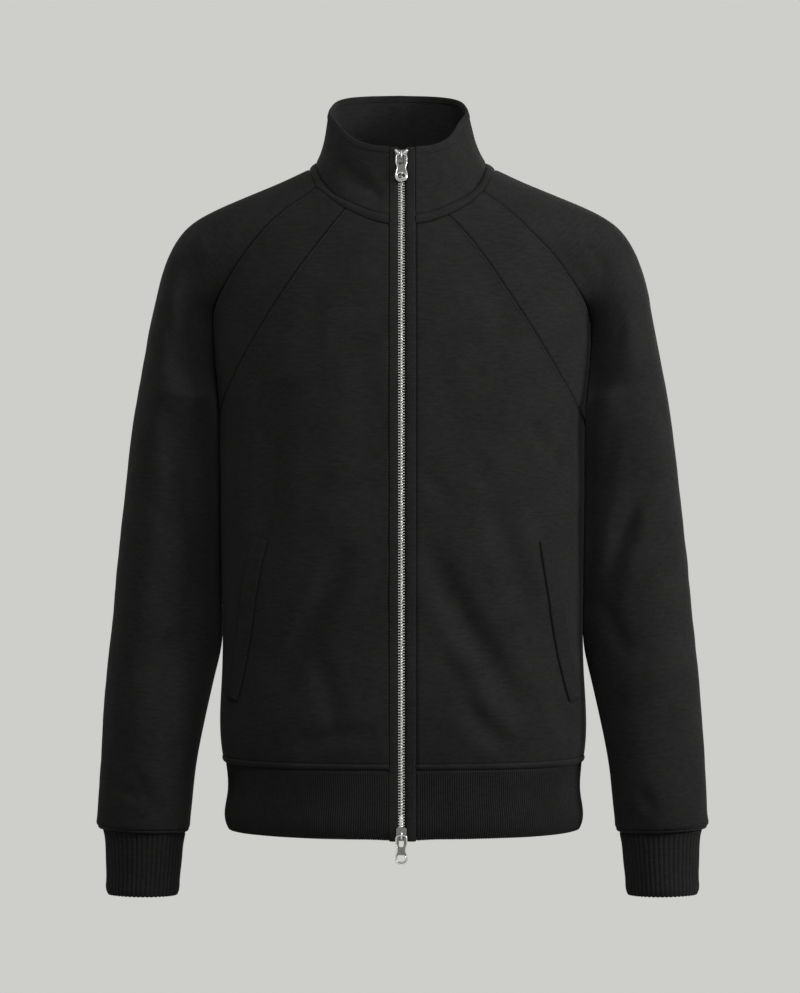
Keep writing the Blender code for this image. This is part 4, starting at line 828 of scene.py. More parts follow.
sleeveForm = {
    # share up the raglan seam, outer point's distance and height, fullness front and back, wrap
    "cap": [(0.000, 263.6, -215.0, 70, 72, 180), (0.099, 257.0, -180.0, 69, 71, 166),
            (0.224, 249.0, -140.0, 67, 70, 152), (0.339, 242.0, -108.0, 65, 68, 138),
            (0.424, 233.0, -83.0, 63, 67, 125), (0.513, 221.0, -63.0, 62, 67, 113),
            (0.625, 202.0, -46.5, 61, 66, 100), (0.715, 180.0, -35.3, 60, 66, 90),
            (0.816, 151.0, -23.0, 58, 62, 82), (0.908, 122.5, -11.0, 57, 59, 76),
            (1.000, 93.0, 2.5, 56, 55, 72)],
    "crestDepth": 4.0,
    # height and distance of the outer point, distance and height of the inner, fullness to the
    # front and to the back, how far back the outer and the inner point lie
    "armRight": [(-215.0, 263.6, 183.9, -228.0, 71.0, 71.0, 4.0, 0.0),
                 (-240.0, 267.4, 183.0, -252.0, 72.0, 66.0, 3.0, 22.0),
                 (-290.0, 273.8, 181.9, -301.0, 70.0, 52.0, 2.0, 34.0),
                 (-340.0, 278.8, 181.5, -351.0, 69.0, 42.0, 0.0, 35.0),
                 (-390.0, 283.9, 180.9, -401.0, 67.0, 33.0, -4.0, 34.0),
                 (-440.0, 288.2, 180.7, -450.0, 65.0, 32.0, -8.0, 30.0),
                 (-465.0, 290.5, 182.0, -475.0, 63.0, 36.0, -11.0, 18.0),
                 (-490.0, 293.2, 186.6, -499.0, 61.0, 40.0, -14.0, 2.0)],
    "armLeft": [(-215.0, 263.6, 183.9, -228.0, 71.0, 71.0, 4.0, 0.0),
                (-240.0, 267.4, 181.9, -252.0, 73.0, 66.0, 3.0, 8.0),
                (-290.0, 273.8, 181.9, -301.0, 71.0, 52.0, 2.0, 14.0),
                (-340.0, 278.8, 181.5, -351.0, 69.0, 42.0, 0.0, 14.0),
                (-390.0, 283.9, 180.9, -401.0, 67.0, 33.0, -4.0, 13.0),
                (-440.0, 288.2, 180.7, -450.0, 65.0, 32.0, -8.0, 13.0),
                (-465.0, 290.5, 182.0, -475.0, 63.5, 36.0, -11.0, 10.0),
                (-490.0, 293.2, 186.6, -499.0, 65.0, 40.0, -14.0, 2.0)],
    "wrist": [(-540.0, 297.2, 196.6, -548.0, 53.5, 46.0, -19.0, -24.0),
              (-588.0, 299.7, 204.9, -595.0, 46.0, 46.0, -23.0, -32.0),
              (-627.5, 301.5, 209.0, -633.4, 43.5, 43.5, -25.0, -30.0),
              (-642.8, 302.6, 210.5, -647.4, 42.3, 42.3, -25.6, -28.3),
              (-650.0, 301.6, 212.2, -653.8, 39.6, 39.6, -26.0, -28.2),
              (-653.6, 297.4, 215.2, -656.8, 35.2, 35.2, -26.0, -28.0)],
    "cuff": [(-653.6, 297.4, 215.2, -656.8, 35.2, 35.2, -26.0, -28.0),
             (-657.5, 296.0, 215.8, -660.2, 33.6, 33.6, -26.3, -28.2),
             (-664.0, 294.8, 217.0, -666.0, 32.4, 32.4, -26.8, -28.5),
             (-685.0, 293.6, 219.0, -686.0, 31.0, 31.0, -28.2, -29.5),
             (-706.0, 293.2, 221.0, -706.6, 30.0, 30.0, -29.8, -30.5),
             (-714.4, 292.8, 221.9, -715.0, 29.4, 29.4, -30.4, -31.0),
             (-718.4, 290.8, 223.6, -718.8, 27.8, 27.8, -30.5, -31.0)],
    # how square the inner front of the left and of the right arm is: 1 is round
    "corner": [(-720.0, 1.0, 1.0), (-600.0, 1.0, 1.0), (-520.0, 0.85, 0.9),
               (-450.0, 0.55, 0.7), (-380.0, 0.42, 0.62), (-300.0, 0.42, 0.62),
               (-250.0, 0.46, 0.68), (-215.0, 0.50, 0.72)],
    "capCorner": [(0.0, 0.50, 0.72), (0.25, 0.46, 0.72), (0.5, 0.55, 0.8), (0.7, 0.9, 1.0),
                  (1.0, 1.0, 1.0)],
    "waves": [(46.0, 0.55, 31), (19.0, 0.34, 32), (8.5, 0.12, 33)],
    "waveSlant": 0.6, "waveFade": 6.0,
    "armEnd": -653.6,
}


# half a ring from its outer point: an arc of the given wrap, whose end closes in on its seam. Past
# its frontmost point it runs as a superellipse, which is squarer the smaller its corner is
def armArc(top, end, topDepth, endDepth, bulge, wrap, turns, facing, corner=1.0):
    swing = turns * wrap
    blend = (1 - np.cos(swing)) / (1 - np.cos(wrap))
    full, fullEnd = (
        np.maximum(1 - np.abs(np.cos(angle)) ** (2 / square), 0) ** (square / 2)
        for angle, square in ((swing, np.where(swing > math.pi / 2, corner, 1.0)),
                              (wrap, np.where(np.asarray(wrap) > math.pi / 2, corner, 1.0))))
    close = (endDepth - topDepth) - facing * bulge * fullEnd
    y = topDepth + facing * bulge * full + close * blend ** (1 / corner ** 2)
    return stack(top[0] + (end[0] - top[0]) * blend, y, top[1] + (end[1] - top[1]) * blend)


# closed rings at heights of their outer points, from the inner point over the front and back
def ringPoints(rows, side, heights, turns):
    out, inner, low, ahead, behind, centre, sway = (
        readCurve(rows, k, heights)[:, None] for k in range(1, 8))
    corner = readCurve(sleeveForm["corner"], 1 if side > 0 else 2, heights)[:, None]
    top, end = (side * out, np.asarray(heights, float)[:, None]), (side * inner, low)
    halves = [armArc(top, end, centre, sway, full, math.pi, turns, facing, square)
              for full, facing, square in ((ahead, -1.0, corner), (behind, 1.0, 1.0))]
    return np.concatenate([halves[0], halves[1][:, -2::-1]], axis=1)


# a sleeve: arcs from the front seam over the crest to the back seam, then closed rings
def sleeveRows(side):
    turns = 1 - steps("sleeve", (True, False))
    shares = capShares[:0:-1]
    top = (side * readCurve(sleeveForm["cap"], 1, shares)[:, None],
           readCurve(sleeveForm["cap"], 2, shares)[:, None])
    wrap = np.radians(readCurve(sleeveForm["cap"], 5, shares))[:, None]
    corner = readCurve(sleeveForm["capCorner"], 1 if side > 0 else 2, shares)[:, None]
    halves = {}
    for face, name, k in (("front", "raglanLeft" if side > 0 else "raglanRight", 3),
                          ("back", "raglanBack", 4)):
        rounds, heights = seamSamples(name, face, shares)
        end = bodyPoint(side * rounds, heights, face)
        halves[face] = armArc(top, (end[:, :1], end[:, 2:]), sleeveForm["crestDepth"], end[:, 1:2],
                              readCurve(sleeveForm["cap"], k, shares)[:, None], wrap, turns,
                              bodyForm["facing"][face], corner if face == "front" else 1.0)
    cap = np.concatenate([halves["front"], halves["back"][:, -2::-1]], axis=1)
    start = sleeveForm["armLeft"][0][0]
    heights = start + steps("arm", (False, True)) * (sleeveForm["armEnd"] - start)
    arm = sleeveForm["armLeft" if side > 0 else "armRight"] + sleeveForm["wrist"]
    grid = np.concatenate([cap, ringPoints(arm, side, heights, turns)])
    columns = np.concatenate([-turns, turns[-2::-1]])
    return sleeveFolds(grid, side, columns), columns


# the middle of each ring, its points weighed by their steps
def ringMiddle(grid, columns):
    weight = np.gradient(columns)
    return np.sum(grid * weight[None, :, None], axis=1, keepdims=True) / weight.sum()


# folds and waves of a sleeve, which fade at its seams and at its crest
def sleeveFolds(grid, side, columns):
    name = "sleeveLeft" if side > 0 else "sleeveRight"
    outward = unit((grid - ringMiddle(grid, columns)) * (1, 1, 0))
    reach = np.sin(math.pi * np.abs(columns)) ** foldShape["sleeveFade"]
    lift = np.zeros(grid.shape[:2])
    for face, chosen in (("Front", columns < 0), ("Back", columns > 0)):
        lift += foldDepth(name + face, grid[..., 0], grid[..., 2]) * chosen * reach
    across = grid[..., 1] + sleeveForm["waveSlant"] * grid[..., 0] * side
    soft = np.minimum(1, sleeveForm["waveFade"] * (1 - np.abs(columns)))
    for size, high, seed in sleeveForm["waves"]:
        lift += high * soft * ripple(across + 500, grid[..., 2] + 900, size, seed + (side > 0) * 7)
    return grid + outward * lift[..., None]


clothSize = {"fleece": 2.4, "rib": 2.8, "collar": 3.0, "band": 2.4, "tape": 0.8, "welt": 1.8}
seamRise = 6    # rows over which a seam changes its style
threads = []    # lines of stitches: points, normals and how long each stitch is


# thread along an edge of a finished grid, over a range of its lines
def sewLine(outer, normal, edge, style, first=0, last=None, pitch=3.0):
    points, outward = lineInset(outer, normal, edge, seamStyle[style]["stitch"])
    threads.append((points[first:last], outward[first:last], pitch))


# the two outlines at a seam whose pieces meet at an angle: the gap lies in the plane between them
def partSeam(line, first, second, side, thick):
    tangent = unit(np.gradient(line, axis=0))
    toFirst, toSecond = (leaf - line for leaf, _ in (first, second))
    across = unit(toSecond - np.sum(toSecond * tangent, axis=-1, keepdims=True) * tangent) \
        - unit(toFirst - np.sum(toFirst * tangent, axis=-1, keepdims=True) * tangent)
    across[0] = (side, 0, 0)
    across = unit(across)
    edges = []
    for (_, normal), sign in ((first, -1.0), (second, 1.0)):
        outer = line + sign * across * seams["gap"] / 2
        inner = outer - thick * normal
        excess = sign * np.sum((inner - line) * across, axis=-1) - seams["gap"] / 2
        edges.append((outer, inner - sign * across * np.minimum(excess, 0)[:, None]))
    return edges


# relief of a seam that is flat at its foot and stitched further up, by the share of each row
def risingSeam(grid, edge, share, style, seed):
    stitched = seamRelief(grid, edge, style, seed)
    return seamRelief(grid, edge, "flat") * (1 - share) + stitched * share


# the share of each row in a change that starts past a given row
def shareFrom(count, start):
    return np.clip((np.arange(count) - start) / seamRise, 0, 1)[:, None]


# a place on the body's own cloth map in units of 100 mm: its share of the girth, and its height
def bodyMap(rounds, heights):
    return np.stack([rounds * bodyForm["quarterGirth"], heights], axis=-1) / 100


# front panel: the outer face is the form and its seams' relief, the inner one lies a cloth deeper
def makeFront(side, name, grid, normal, places):
    relief = seamRelief(grid, "firstRow", "hem", 51)
    relief += seamRelief(grid, "firstColumn", "zipEdge")
    relief += seamRelief(grid, "lastRow")
    relief += risingSeam(grid, "lastColumn", shareFrom(len(grid), capStart), "wedge", 53)
    outer, inner = grid + normal * relief[..., None], grid - clothSize["fleece"] * normal
    drawSeams(outer, inner, normal, "firstRow", "lastRow", "lastColumn")
    outer[:, 0, 0] = inner[:, 0, 0] = side * seams["panelStart"]
    # painted shade darkens the dips of its seams
    makePiece("front" + name, "front_" + name.lower(), outer, inner, places=places,
              tone=paintedCreaseShade(relief))
    sewLine(outer, normal, "firstRow", "hem", 2, -2)
    sewLine(outer, normal, "lastColumn", "wedge", capStart + 4, -3)


# shoulder wedge: the same, with its raglan edge where the seam is parted
def makeYoke(name, grid, normal, places, edge):
    relief = seamRelief(grid, "firstColumn", "flat") + seamRelief(grid, "lastRow")
    relief += seamRelief(grid, "lastColumn", "raglanWedge", 57)
    outer, inner = grid + normal * relief[..., None], grid - clothSize["fleece"] * normal
    drawSeams(outer, inner, normal, "firstRow", "lastRow", "firstColumn")
    outer[:, -1] = edge[0] + (normal * relief[..., None])[:, -1]
    inner[:, -1] = edge[1]
    # painted shade darkens the dips of its seams
    makePiece("yoke" + name, "yoke_" + name.lower(), outer, inner, places=places,
              tone=paintedCreaseShade(relief))
    sewLine(outer, normal, "lastColumn", "raglanWedge", 14, -3)


# sleeve: the same, its raglan seams along both edge columns as far as the underarm and a shallow
# arm seam below it
def makeSleeve(name, grid, normal, closed, upTheCap, frontEdge, backEdge):
    relief = seamRelief(grid, "lastRow", "cuff", 61)
    relief += seamRelief(grid, "firstRow")
    share = 1 - shareFrom(len(grid), len(capShares) - 1 - seamRise)
    relief += (seamRelief(grid, "firstColumn", "raglanSleeve")
               + seamRelief(grid, "lastColumn", "flat")) * share
    relief += (seamRelief(grid, "firstColumn", "armSeam")
               + seamRelief(grid, "lastColumn", "armSeam")) * (1 - share)
    rise = normal * relief[..., None]
    outer, inner = grid + rise, grid - clothSize["fleece"] * normal
    for place, edge in ((0, frontEdge), (-1, backEdge)):
        outer[upTheCap, place] = edge[0] + rise[upTheCap, place]
        inner[upTheCap, place] = edge[1]
    drawSeams(outer, inner, normal, "firstRow", "lastRow")
    # painted shade darkens the dips of its seams
    makePiece("sleeve" + name, "sleeve_" + name.lower(), outer, inner, closed=closed,
              tone=paintedCreaseShade(relief))
    sewLine(outer, normal, "lastRow", "cuff")


# back: the same, with a raglan edge at both ends of its rows past the underarm
def makeBack(grid, inner, normal, places, backCap, edges):
    relief = seamRelief(grid, "firstRow", "hem", 71)
    relief += seamRelief(grid, "lastRow")
    share = shareFrom(len(grid), len(sideShares))
    for edge in ("firstColumn", "lastColumn"):
        relief += risingSeam(grid, edge, share, "raglanBack", 73)
    rise = normal * relief[..., None]
    outer = grid + rise
    drawSeams(outer, inner, normal, "firstRow", "lastRow", "firstColumn", "lastColumn")
    for place in (0, -1):
        outer[backCap, place] = edges[place][0] + rise[backCap, place]
        inner[backCap, place] = edges[place][1]
    # painted shade darkens the dips of its seams
    makePiece("backPanel", "back", outer, inner, places=places, tone=paintedCreaseShade(relief))
    sewLine(outer, normal, "firstRow", "hem", 2, -2)
    for edge in ("firstColumn", "lastColumn"):
        sewLine(outer, normal, edge, "raglanBack", len(sideShares) + seamRise, -3)
    print("back made")


# body panels and sleeves: walls of the body form between its seams. Where two of them meet their
# normals are the mean of both, and at the raglan seam the gap lies in the plane between them
def makeBodyAndSleeves():
    backRounds, backHeights = backPatch()
    back = bodyPoint(backRounds, backHeights, "back")
    backNormal = bodyNormals(back)
    backInner = back - clothSize["fleece"] * backNormal
    upTheCap, backCap = np.s_[len(capShares) - 1::-1], np.s_[len(sideShares):]
    backEdges = {}
    for side, name, place, beside in ((-1.0, "Right", 0, 4), (1.0, "Left", -1, -5)):
        frontRounds, frontHeights = frontPatch(name)
        yokeRounds, yokeHeights = yokePatch(name)
        front = bodyPoint(side * frontRounds, frontHeights, "front")
        frontNormal = bodyNormals(front)
        yoke = bodyPoint(side * yokeRounds, yokeHeights, "front")
        yokeNormal = bodyNormals(yoke)
        for a, b in ((frontNormal[:capStart + 1, -1], backNormal[:capStart + 1, place]),
                     (frontNormal[capStart:, -1], yokeNormal[:, 0])):
            a[...] = b[...] = unit(a + b)
        sleeve, columns = sleeveRows(side)
        closed = np.arange(len(sleeve)) >= len(capShares) - 1
        sleeveNormal = gridNormals(sleeve, np.broadcast_to(ringMiddle(sleeve, columns),
                                                           sleeve.shape), closed)
        yokeEdge, frontEdge = partSeam(
            yoke[:, -1].copy(), (yoke[:, -5], yokeNormal[:, -1]),
            (sleeve[upTheCap, 4], sleeveNormal[upTheCap, 0]), side, clothSize["fleece"])
        backEdges[place], backEdge = partSeam(
            back[backCap, place].copy(), (back[backCap, beside], backNormal[backCap, place]),
            (sleeve[upTheCap, -5], sleeveNormal[upTheCap, -1]), side, clothSize["fleece"])
        makeFront(side, name, front, frontNormal, bodyMap(side * frontRounds, frontHeights))
        makeYoke(name, yoke, yokeNormal, bodyMap(side * yokeRounds, yokeHeights), yokeEdge)
        makeSleeve(name, sleeve, sleeveNormal, closed, upTheCap, frontEdge, backEdge)
        print("front, wedge and sleeve made,", name.lower())
    makeBack(back, backInner, backNormal, bodyMap(backRounds, backHeights), backCap, backEdges)


makeBodyAndSleeves()

neckForm = {
    # angle from the front, radius and height
    "seam": [(0, 98.0, -54), (10, 98.5, -50), (16, 98.8, -48), (28, 98.4, -40), (39, 98.0, -32),
             (51, 94.5, -21), (59, 92.4, -12), (73, 87.6, 1), (92, 85.6, 9), (119, 88.4, 14.5),
             (146, 84.0, 19.5), (180, 78.5, 22)],
    "top": [(0, 76.0, 16), (27, 76.0, 20), (43, 73.0, 30), (62, 68.0, 46), (86, 69.0, 59.5),
            (98, 67.6, 66.3), (109, 68.6, 71), (120, 69.5, 75), (135, 69.8, 79), (156, 68.5, 82),
            (180, 66.0, 83)],
    "topRight": [(0, 76.0, 16), (27, 76.3, 20), (43, 75.6, 29.5), (62, 73.2, 45.5),
                 (86, 71.2, 59.5), (98, 68.6, 66.3), (109, 68.8, 71), (120, 69.5, 75),
                 (135, 69.8, 79), (156, 68.5, 82), (180, 66.0, 83)],
    "waist": 3.0, "waistRise": 0.7, "lean": -4.5,
    # the neck band: rows, height of its crown, depth of its seams, crown height below which it gets
    # painted shade
    "bandRows": 13, "crown": 1.3, "crownRise": 0.8, "bandDip": 0.55, "bandCrease": 0.7,
    "bandWaves": (0.16, 5.0, 91),
    "collarSteps": (76, 0.8, 3.2, 7), "collarFade": 0.4,
    "waves": [(26.0, 0.45, 81), (11.0, 0.18, 82)],
}


# a ring round the neck at shares of the way from the zip to the middle of the back
def neckRing(name, shares, side):
    rows = neckForm[name]
    start = math.degrees(math.asin(seams["panelStart"] / rows[0][1]))
    turn = start + (180 - start) * shares
    radius, height = readCurve(rows, 1, turn), readCurve(rows, 2, turn)
    return stack(side * radius * np.sin(np.radians(turn)), -radius * np.cos(np.radians(turn)),
                 height)


# the upper edge of panels and sleeve, at shares of the way to the middle of the back
def panelNeckLine(side, shares):
    even = np.linspace(0, 1, 60)
    end = seams["raglanAtNeck"]["Left" if side > 0 else "Right"]
    front = neckSamples("front", seams["panelStart"], end, even)
    back = neckSamples("back", seams["raglanAtNeck"]["back"], 0, even)
    line = np.concatenate([
        bodyPoint(side * front[0], front[1], "front"), sleeveRows(side)[0][0][1:-1],
        bodyPoint(side * back[0], back[1], "back")])
    angle = np.degrees(np.arctan2(np.abs(line[:, 0]), -line[:, 1]))
    order = np.argsort(angle)
    angle, line = angle[order], line[order]
    turn = angle[0] + (180 - angle[0]) * shares
    return stack(*(np.interp(turn, angle, line[:, k]) for k in range(3)))


# a whole ring from its two halves, from the zip's right edge round the back to its left edge
def bothSides(half, shares):
    return np.concatenate([half(shares, -1.0), half(shares, 1.0)[-2::-1]])


# how far the collar is drawn in: half a wave over a power of the way up
def collarWaist(rise):
    return neckForm["waist"] * np.sin(math.pi * rise ** neckForm["waistRise"])


# neck band: a crowned strip between the panels' edge and the collar's seam;
# collar: a ruled wall from seam to top, drawn in at its waist
def makeNeck():
    shares = steps("neck", (True, False))
    low = bothSides(lambda s, side: panelNeckLine(side, s), shares)
    high = bothSides(lambda s, side: neckRing("seam", s, side), shares)
    top = bothSides(lambda s, side: neckRing("top" if side > 0 else "topRight", s, side), shares)
    around = np.abs(np.concatenate([shares - 1, 1 - shares[-2::-1]]))
    ease = np.sin(math.pi / 2 * (1 - around))
    top[:, 0] += neckForm["lean"] * ease
    high[:, 0] += neckForm["lean"] / 2 * ease

    rise = np.linspace(0, 1, neckForm["bandRows"])[:, None, None]
    band = low + (high - low) * rise
    normal = bodyNormals(band)
    crown = neckForm["crown"] * (np.sin(math.pi * rise) ** neckForm["crownRise"])
    inner = band - clothSize["fleece"] * normal
    outer = band + normal * (crown - neckForm["bandDip"])
    depth, size, seed = neckForm["bandWaves"]
    length = lengthAlong(band[0])[None, :, None]
    outer += normal * depth * ripple(length, rise * 4, size, seed)[..., 0][..., None]
    # painted shade: the band darkens where its crown runs low, towards its seams
    crease = neckForm["bandCrease"]
    tone = paintedCreaseShade(np.broadcast_to((crown - crease)[..., 0], outer.shape[:2]), crease)
    drawSeams(outer, inner, normal, "firstRow", "lastRow")
    trimAtZip(outer, inner)
    makePiece("neckBand", "neck_band", outer, inner, tone=tone)

    rise = gradedShares(*neckForm["collarSteps"])[:, None, None]
    collar = high + (top - high) * rise
    collar -= unit(collar * (1, 1, 0)) * collarWaist(rise)
    normal = bodyNormals(collar)
    length = lengthAlong(collar[0])[None, :]
    lift = foldDepth("collar", collar[..., 0], collar[..., 2]) * (collar[..., 1] < 0)
    for size, depth, seed in neckForm["waves"]:
        lift = lift + depth * ripple(length, collar[..., 2] + 200, size, seed)
    lift = lift * np.sin(math.pi * rise[..., 0]) ** neckForm["collarFade"]
    collar += normal * lift[..., None]
    inner = collar - clothSize["collar"] * normal
    relief = seamRelief(collar, "firstRow", "collar") \
        + seamRelief(collar, "lastRow", "collarOutside", 93)
    reliefInside = seamRelief(inner, "lastRow", "collarInside", 95)
    outer = collar + normal * relief[..., None]
    inner = inner - normal * reliefInside[..., None]
    drawSeams(outer, inner, normal, "firstRow")
    trimAtZip(outer, inner)
    sewLine(outer, normal, "lastRow", "collarOutside", 3, -3)
    sewLine(inner, -normal, "lastRow", "collarInside", 3, -3)
    # painted shade in the dips of the collar's seams
    outer, inner, tone = roundEdge(outer, inner, paintedCreaseShade(relief), "lastRow", edgeTurns["fine"])
    makePiece("standCollar", "collar", outer, inner, tone=tone)
    print("neck band and collar made")


makeNeck()

ribForm = {
    # height, half width, depth to the front, depth to the back, sideways shift
    "rings": [(-655.0, 174.6, 124.2, 105.0, 1.4), (-651.0, 176.6, 126.0, 106.8, 1.4),
              (-620, 176.0, 126.2, 106.6, 1.6), (-588, 177.4, 127.0, 107.2, 1.2)],
    "foot": -655.0,
    "pitch": 2.25,            # from rib to rib, in mm
    "valley": 0.55, "crest": 0.18,
    "fold": 1.4,              # how far up from its foot the wall starts to turn over
    "dip": 0.8, "dipReach": 13.0,    # how far the foot hangs lower beside the zip, and how wide
    "seamShare": 0.45, "seamReach": 5.0,    # what is left of the ribs at their seam
    # dark: how much painted shade darkens the valleys between the ribs
    "flank": 0.02, "inside": 0.7, "slack": (0.35, 34.0, 101), "dark": 0.5,
    # finest and coarsest step and how far fine goes, of the hem and of the cuffs
    "hemSteps": (0.9, 4.4, 3, (False, True)), "cuffSteps": (0.9, 3.6, 3, (False, True)),
    "cuffHalfGirth": 107.0,
}


# ribs: rounded crests between narrow valleys, from the phase of each column, 4 columns a rib
def ribRelief(count):
    phase = np.arange(count) % 4
    return np.choose(phase, [-ribForm["valley"], ribForm["flank"], ribForm["crest"],
                             ribForm["flank"]])


# the hem band's outline at heights: the squarish oval of the body, with a whole number of ribs
def ribRings(heights):
    power = bodyForm["squareness"]
    start = shareOfAcross(seams["panelStart"], seams["hem"])
    parts = []
    for face, first in (("front", start), ("back", 0.0)):
        columns = int(round((1 - first) * bodyForm["quarterGirth"] / ribForm["pitch"])) * 4
        turn = np.interp(np.linspace(first, 1, columns + 1), girthTable, turnTable)[None, :]
        width = readCurve(ribForm["rings"], 1, heights)[:, None]
        depth = readCurve(ribForm["rings"], 2 if face == "front" else 3, heights)[:, None]
        parts.append(stack(width * np.sin(turn) ** (2 / power),
                           bodyForm["facing"][face] * depth
                           * np.maximum(np.cos(turn), 0) ** (2 / power),
                           np.asarray(heights)[:, None]))
    half = np.concatenate([parts[0], parts[1][:, -2::-1]], axis=1)
    ring = np.concatenate([half * (-1, 1, 1), half[:, -2::-1]], axis=1)
    return ring + stack(readCurve(ribForm["rings"], 4, heights)[:, None], 0, 0)


# a ribbed wall: the ribs fade a little into the seam at its last row; painted shade darkens their
# valleys
def ribWall(grid, normal, closed=None):
    away, _ = edgeDistance(grid, "lastRow")
    share = ribForm["seamShare"]
    seamFade = toGrid(share + (1 - share) * np.clip(away / ribForm["seamReach"], 0, 1), "lastRow")
    ribs = ribRelief(grid.shape[1])[None, :] * seamFade
    if closed is not None:
        ribs[:, -1] = ribs[:, 0]
    depth, size, seed = ribForm["slack"]
    slack = depth * ripple(lengthAlong(grid[0])[None, :], grid[..., 2] + 900, size, seed)
    relief = ribs + slack + seamRelief(grid, "lastRow", "rib")
    outer = grid + normal * relief[..., None]
    inner = grid - normal * (clothSize["rib"] + ribs * ribForm["inside"])[..., None]
    drawSeams(outer, inner, normal, "lastRow")
    return outer, inner, paintedCreaseShade(ribs, ribForm["valley"], ribForm["dark"])


# hem band and cuffs: ribbed walls on the body's oval and on the sleeves' rings, folded over below;
# the hem hangs a little lower beside the zip, as a bell of the distance from it
def makeRibs():
    low, high = ribForm["foot"] + ribForm["fold"], seams["hem"]
    heights = low + gradedShares(high - low, *ribForm["hemSteps"]) * (high - low)
    grid = ribRings(heights)
    beside = np.exp(-((np.abs(grid[..., 0]) - seams["panelStart"]) / ribForm["dipReach"]) ** 2)
    falling = (grid[..., 1] < 0) * (high - grid[..., 2]) / (high - low)
    grid[..., 2] -= ribForm["dip"] * beside * falling
    outer, inner, tone = ribWall(grid, bodyNormals(grid))
    trimAtZip(outer, inner)
    outer, inner, tone = roundEdge(outer, inner, tone, "firstRow")
    makePiece("hemRib", "hem_rib", outer, inner, "rib", "rib_knit", tone=tone)

    low, high = sleeveForm["cuff"][-1][0] + ribForm["fold"], sleeveForm["cuff"][0][0]
    heights = low + gradedShares(high - low, *ribForm["cuffSteps"]) * (high - low)
    columns = int(round(ribForm["cuffHalfGirth"] / ribForm["pitch"])) * 4
    turns = 1 - np.linspace(0, 1, columns // 2 + 1)
    for side, name in wornSides:
        grid = ringPoints(sleeveForm["cuff"], side, heights, turns)
        closed = np.ones(len(grid), bool)
        middle = np.broadcast_to(grid[:, :-1].mean(axis=1, keepdims=True), grid.shape)
        outer, inner, tone = ribWall(grid, gridNormals(grid, middle, closed), closed)
        outer, inner, tone = roundEdge(outer, inner, tone, "firstRow")
        makePiece("cuff" + name, "cuff_" + name.lower(), outer, inner, "rib", "rib_knit",
                  closed=np.ones(len(outer), bool), tone=tone)
    print("ribbed hem and cuffs made")


makeRibs()

zipForm = {
    "centre": -1.2, "foot": -654.7, "straightFoot": -640.0, "head": 15.6, "smoothing": 4.0,
    "pitch": 2.7,
    "sliderTop": 7.0, "sliderBottom": -648.6,    # heights of the sliders' middles
    "teethStart": 1.4,                           # how far past a slider's middle the teeth go
}


# depth of the garment's front at the zip: hem band, panels, neck band and collar in turn
def frontLine(heights):
    heights = np.asarray(heights, float)
    rib = -readCurve(ribForm["rings"], 2, np.maximum(heights, zipForm["straightFoot"]))
    plain = bodyPoint(shareOfAcross(seams["panelStart"], heights), heights, "front")[..., 1]
    seam = neckRing("seam", np.zeros(1), 1.0)[0]
    top = neckRing("top", np.zeros(1), 1.0)[0]
    rise = np.clip((heights - seam[2]) / (top[2] - seam[2]), 0, 1)
    collar = seam[1] + (top[1] - seam[1]) * rise + collarWaist(rise)
    neck = readCurve(seams["neckFront"], 1, seams["panelStart"])
    edge = bodyPoint(shareOfAcross(seams["panelStart"], neck), neck, "front")[..., 1]
    band = np.interp(heights, (neck, seam[2]), (float(edge), seam[1]))
    above = np.where(heights < seam[2], band, collar)
    return np.where(heights < seams["hem"], rib, np.where(heights < neck, plain, above))


# points on the zip line, with the direction up it and the direction out of the cloth
def zipFrame(heights):
    heights = np.asarray(heights, float)
    near = zipForm["smoothing"]
    even = np.array([-near, -near / 2, 0, near / 2, near])
    depth = frontLine(heights[..., None] + even).mean(axis=-1)
    ahead = stack(0, frontLine(heights + near), heights + near)
    behind = stack(0, frontLine(heights - near), heights - near)
    up = unit(ahead - behind)
    return stack(0, depth, heights), up, np.cross((1.0, 0.0, 0.0), up)


# strips along the zip: columns across it, with the two faces' offsets out of the cloth
def zipStrip(heights, across, outerOffset, innerOffset):
    point, _, out = zipFrame(heights)
    base = point[:, None] + stack(across[None, :], 0, 0)
    return [base + out[:, None] * offset[..., None] for offset in (outerOffset, innerOffset)]


bandForm = {
    # distances from the middle, and the columns between them
    "inner": {"Right": 4.9, "Left": 4.6}, "outer": 13.1,
    "columns": (0, 0.35, 0.9, 1.7, 2.8, 4.0, 5.2, 6.2, 7.0, 7.6, 7.95, 8.2),
    "rows": 221,
    "crown": 0.35, "dip": 0.75, "dipReach": 0.8,
    # waves along the band: what is left of the way across, depth, size, seed
    "waves": {"Right": [(0.4, 0.14, 5.5, 110), (0, 0.25, 31.0, 115)],
              "Left": [(0.4, 0.14, 5.5, 112), (0, 0.25, 31.0, 115)]},
    # height of each seam the band crosses and how far it swells there; a groove follows below
    "crossings": [(-588.0, 0.55), (-60.0, 0.5), (-50.5, 0.4)], "swellReach": 2.56,
    "groove": 0.5, "grooveBelow": 5.2, "grooveReach": 1.6,
}
tapeForm = {
    "inner": 1.7, "depth": 2.7, "rows": 141,
    "columns": (0.0, 0.5, 1.2, 2.2, 4.0, 7.0, 11.3),
    "short": 0.4, "tuck": 0.6,    # how much shorter than the band at each end, and narrower
}


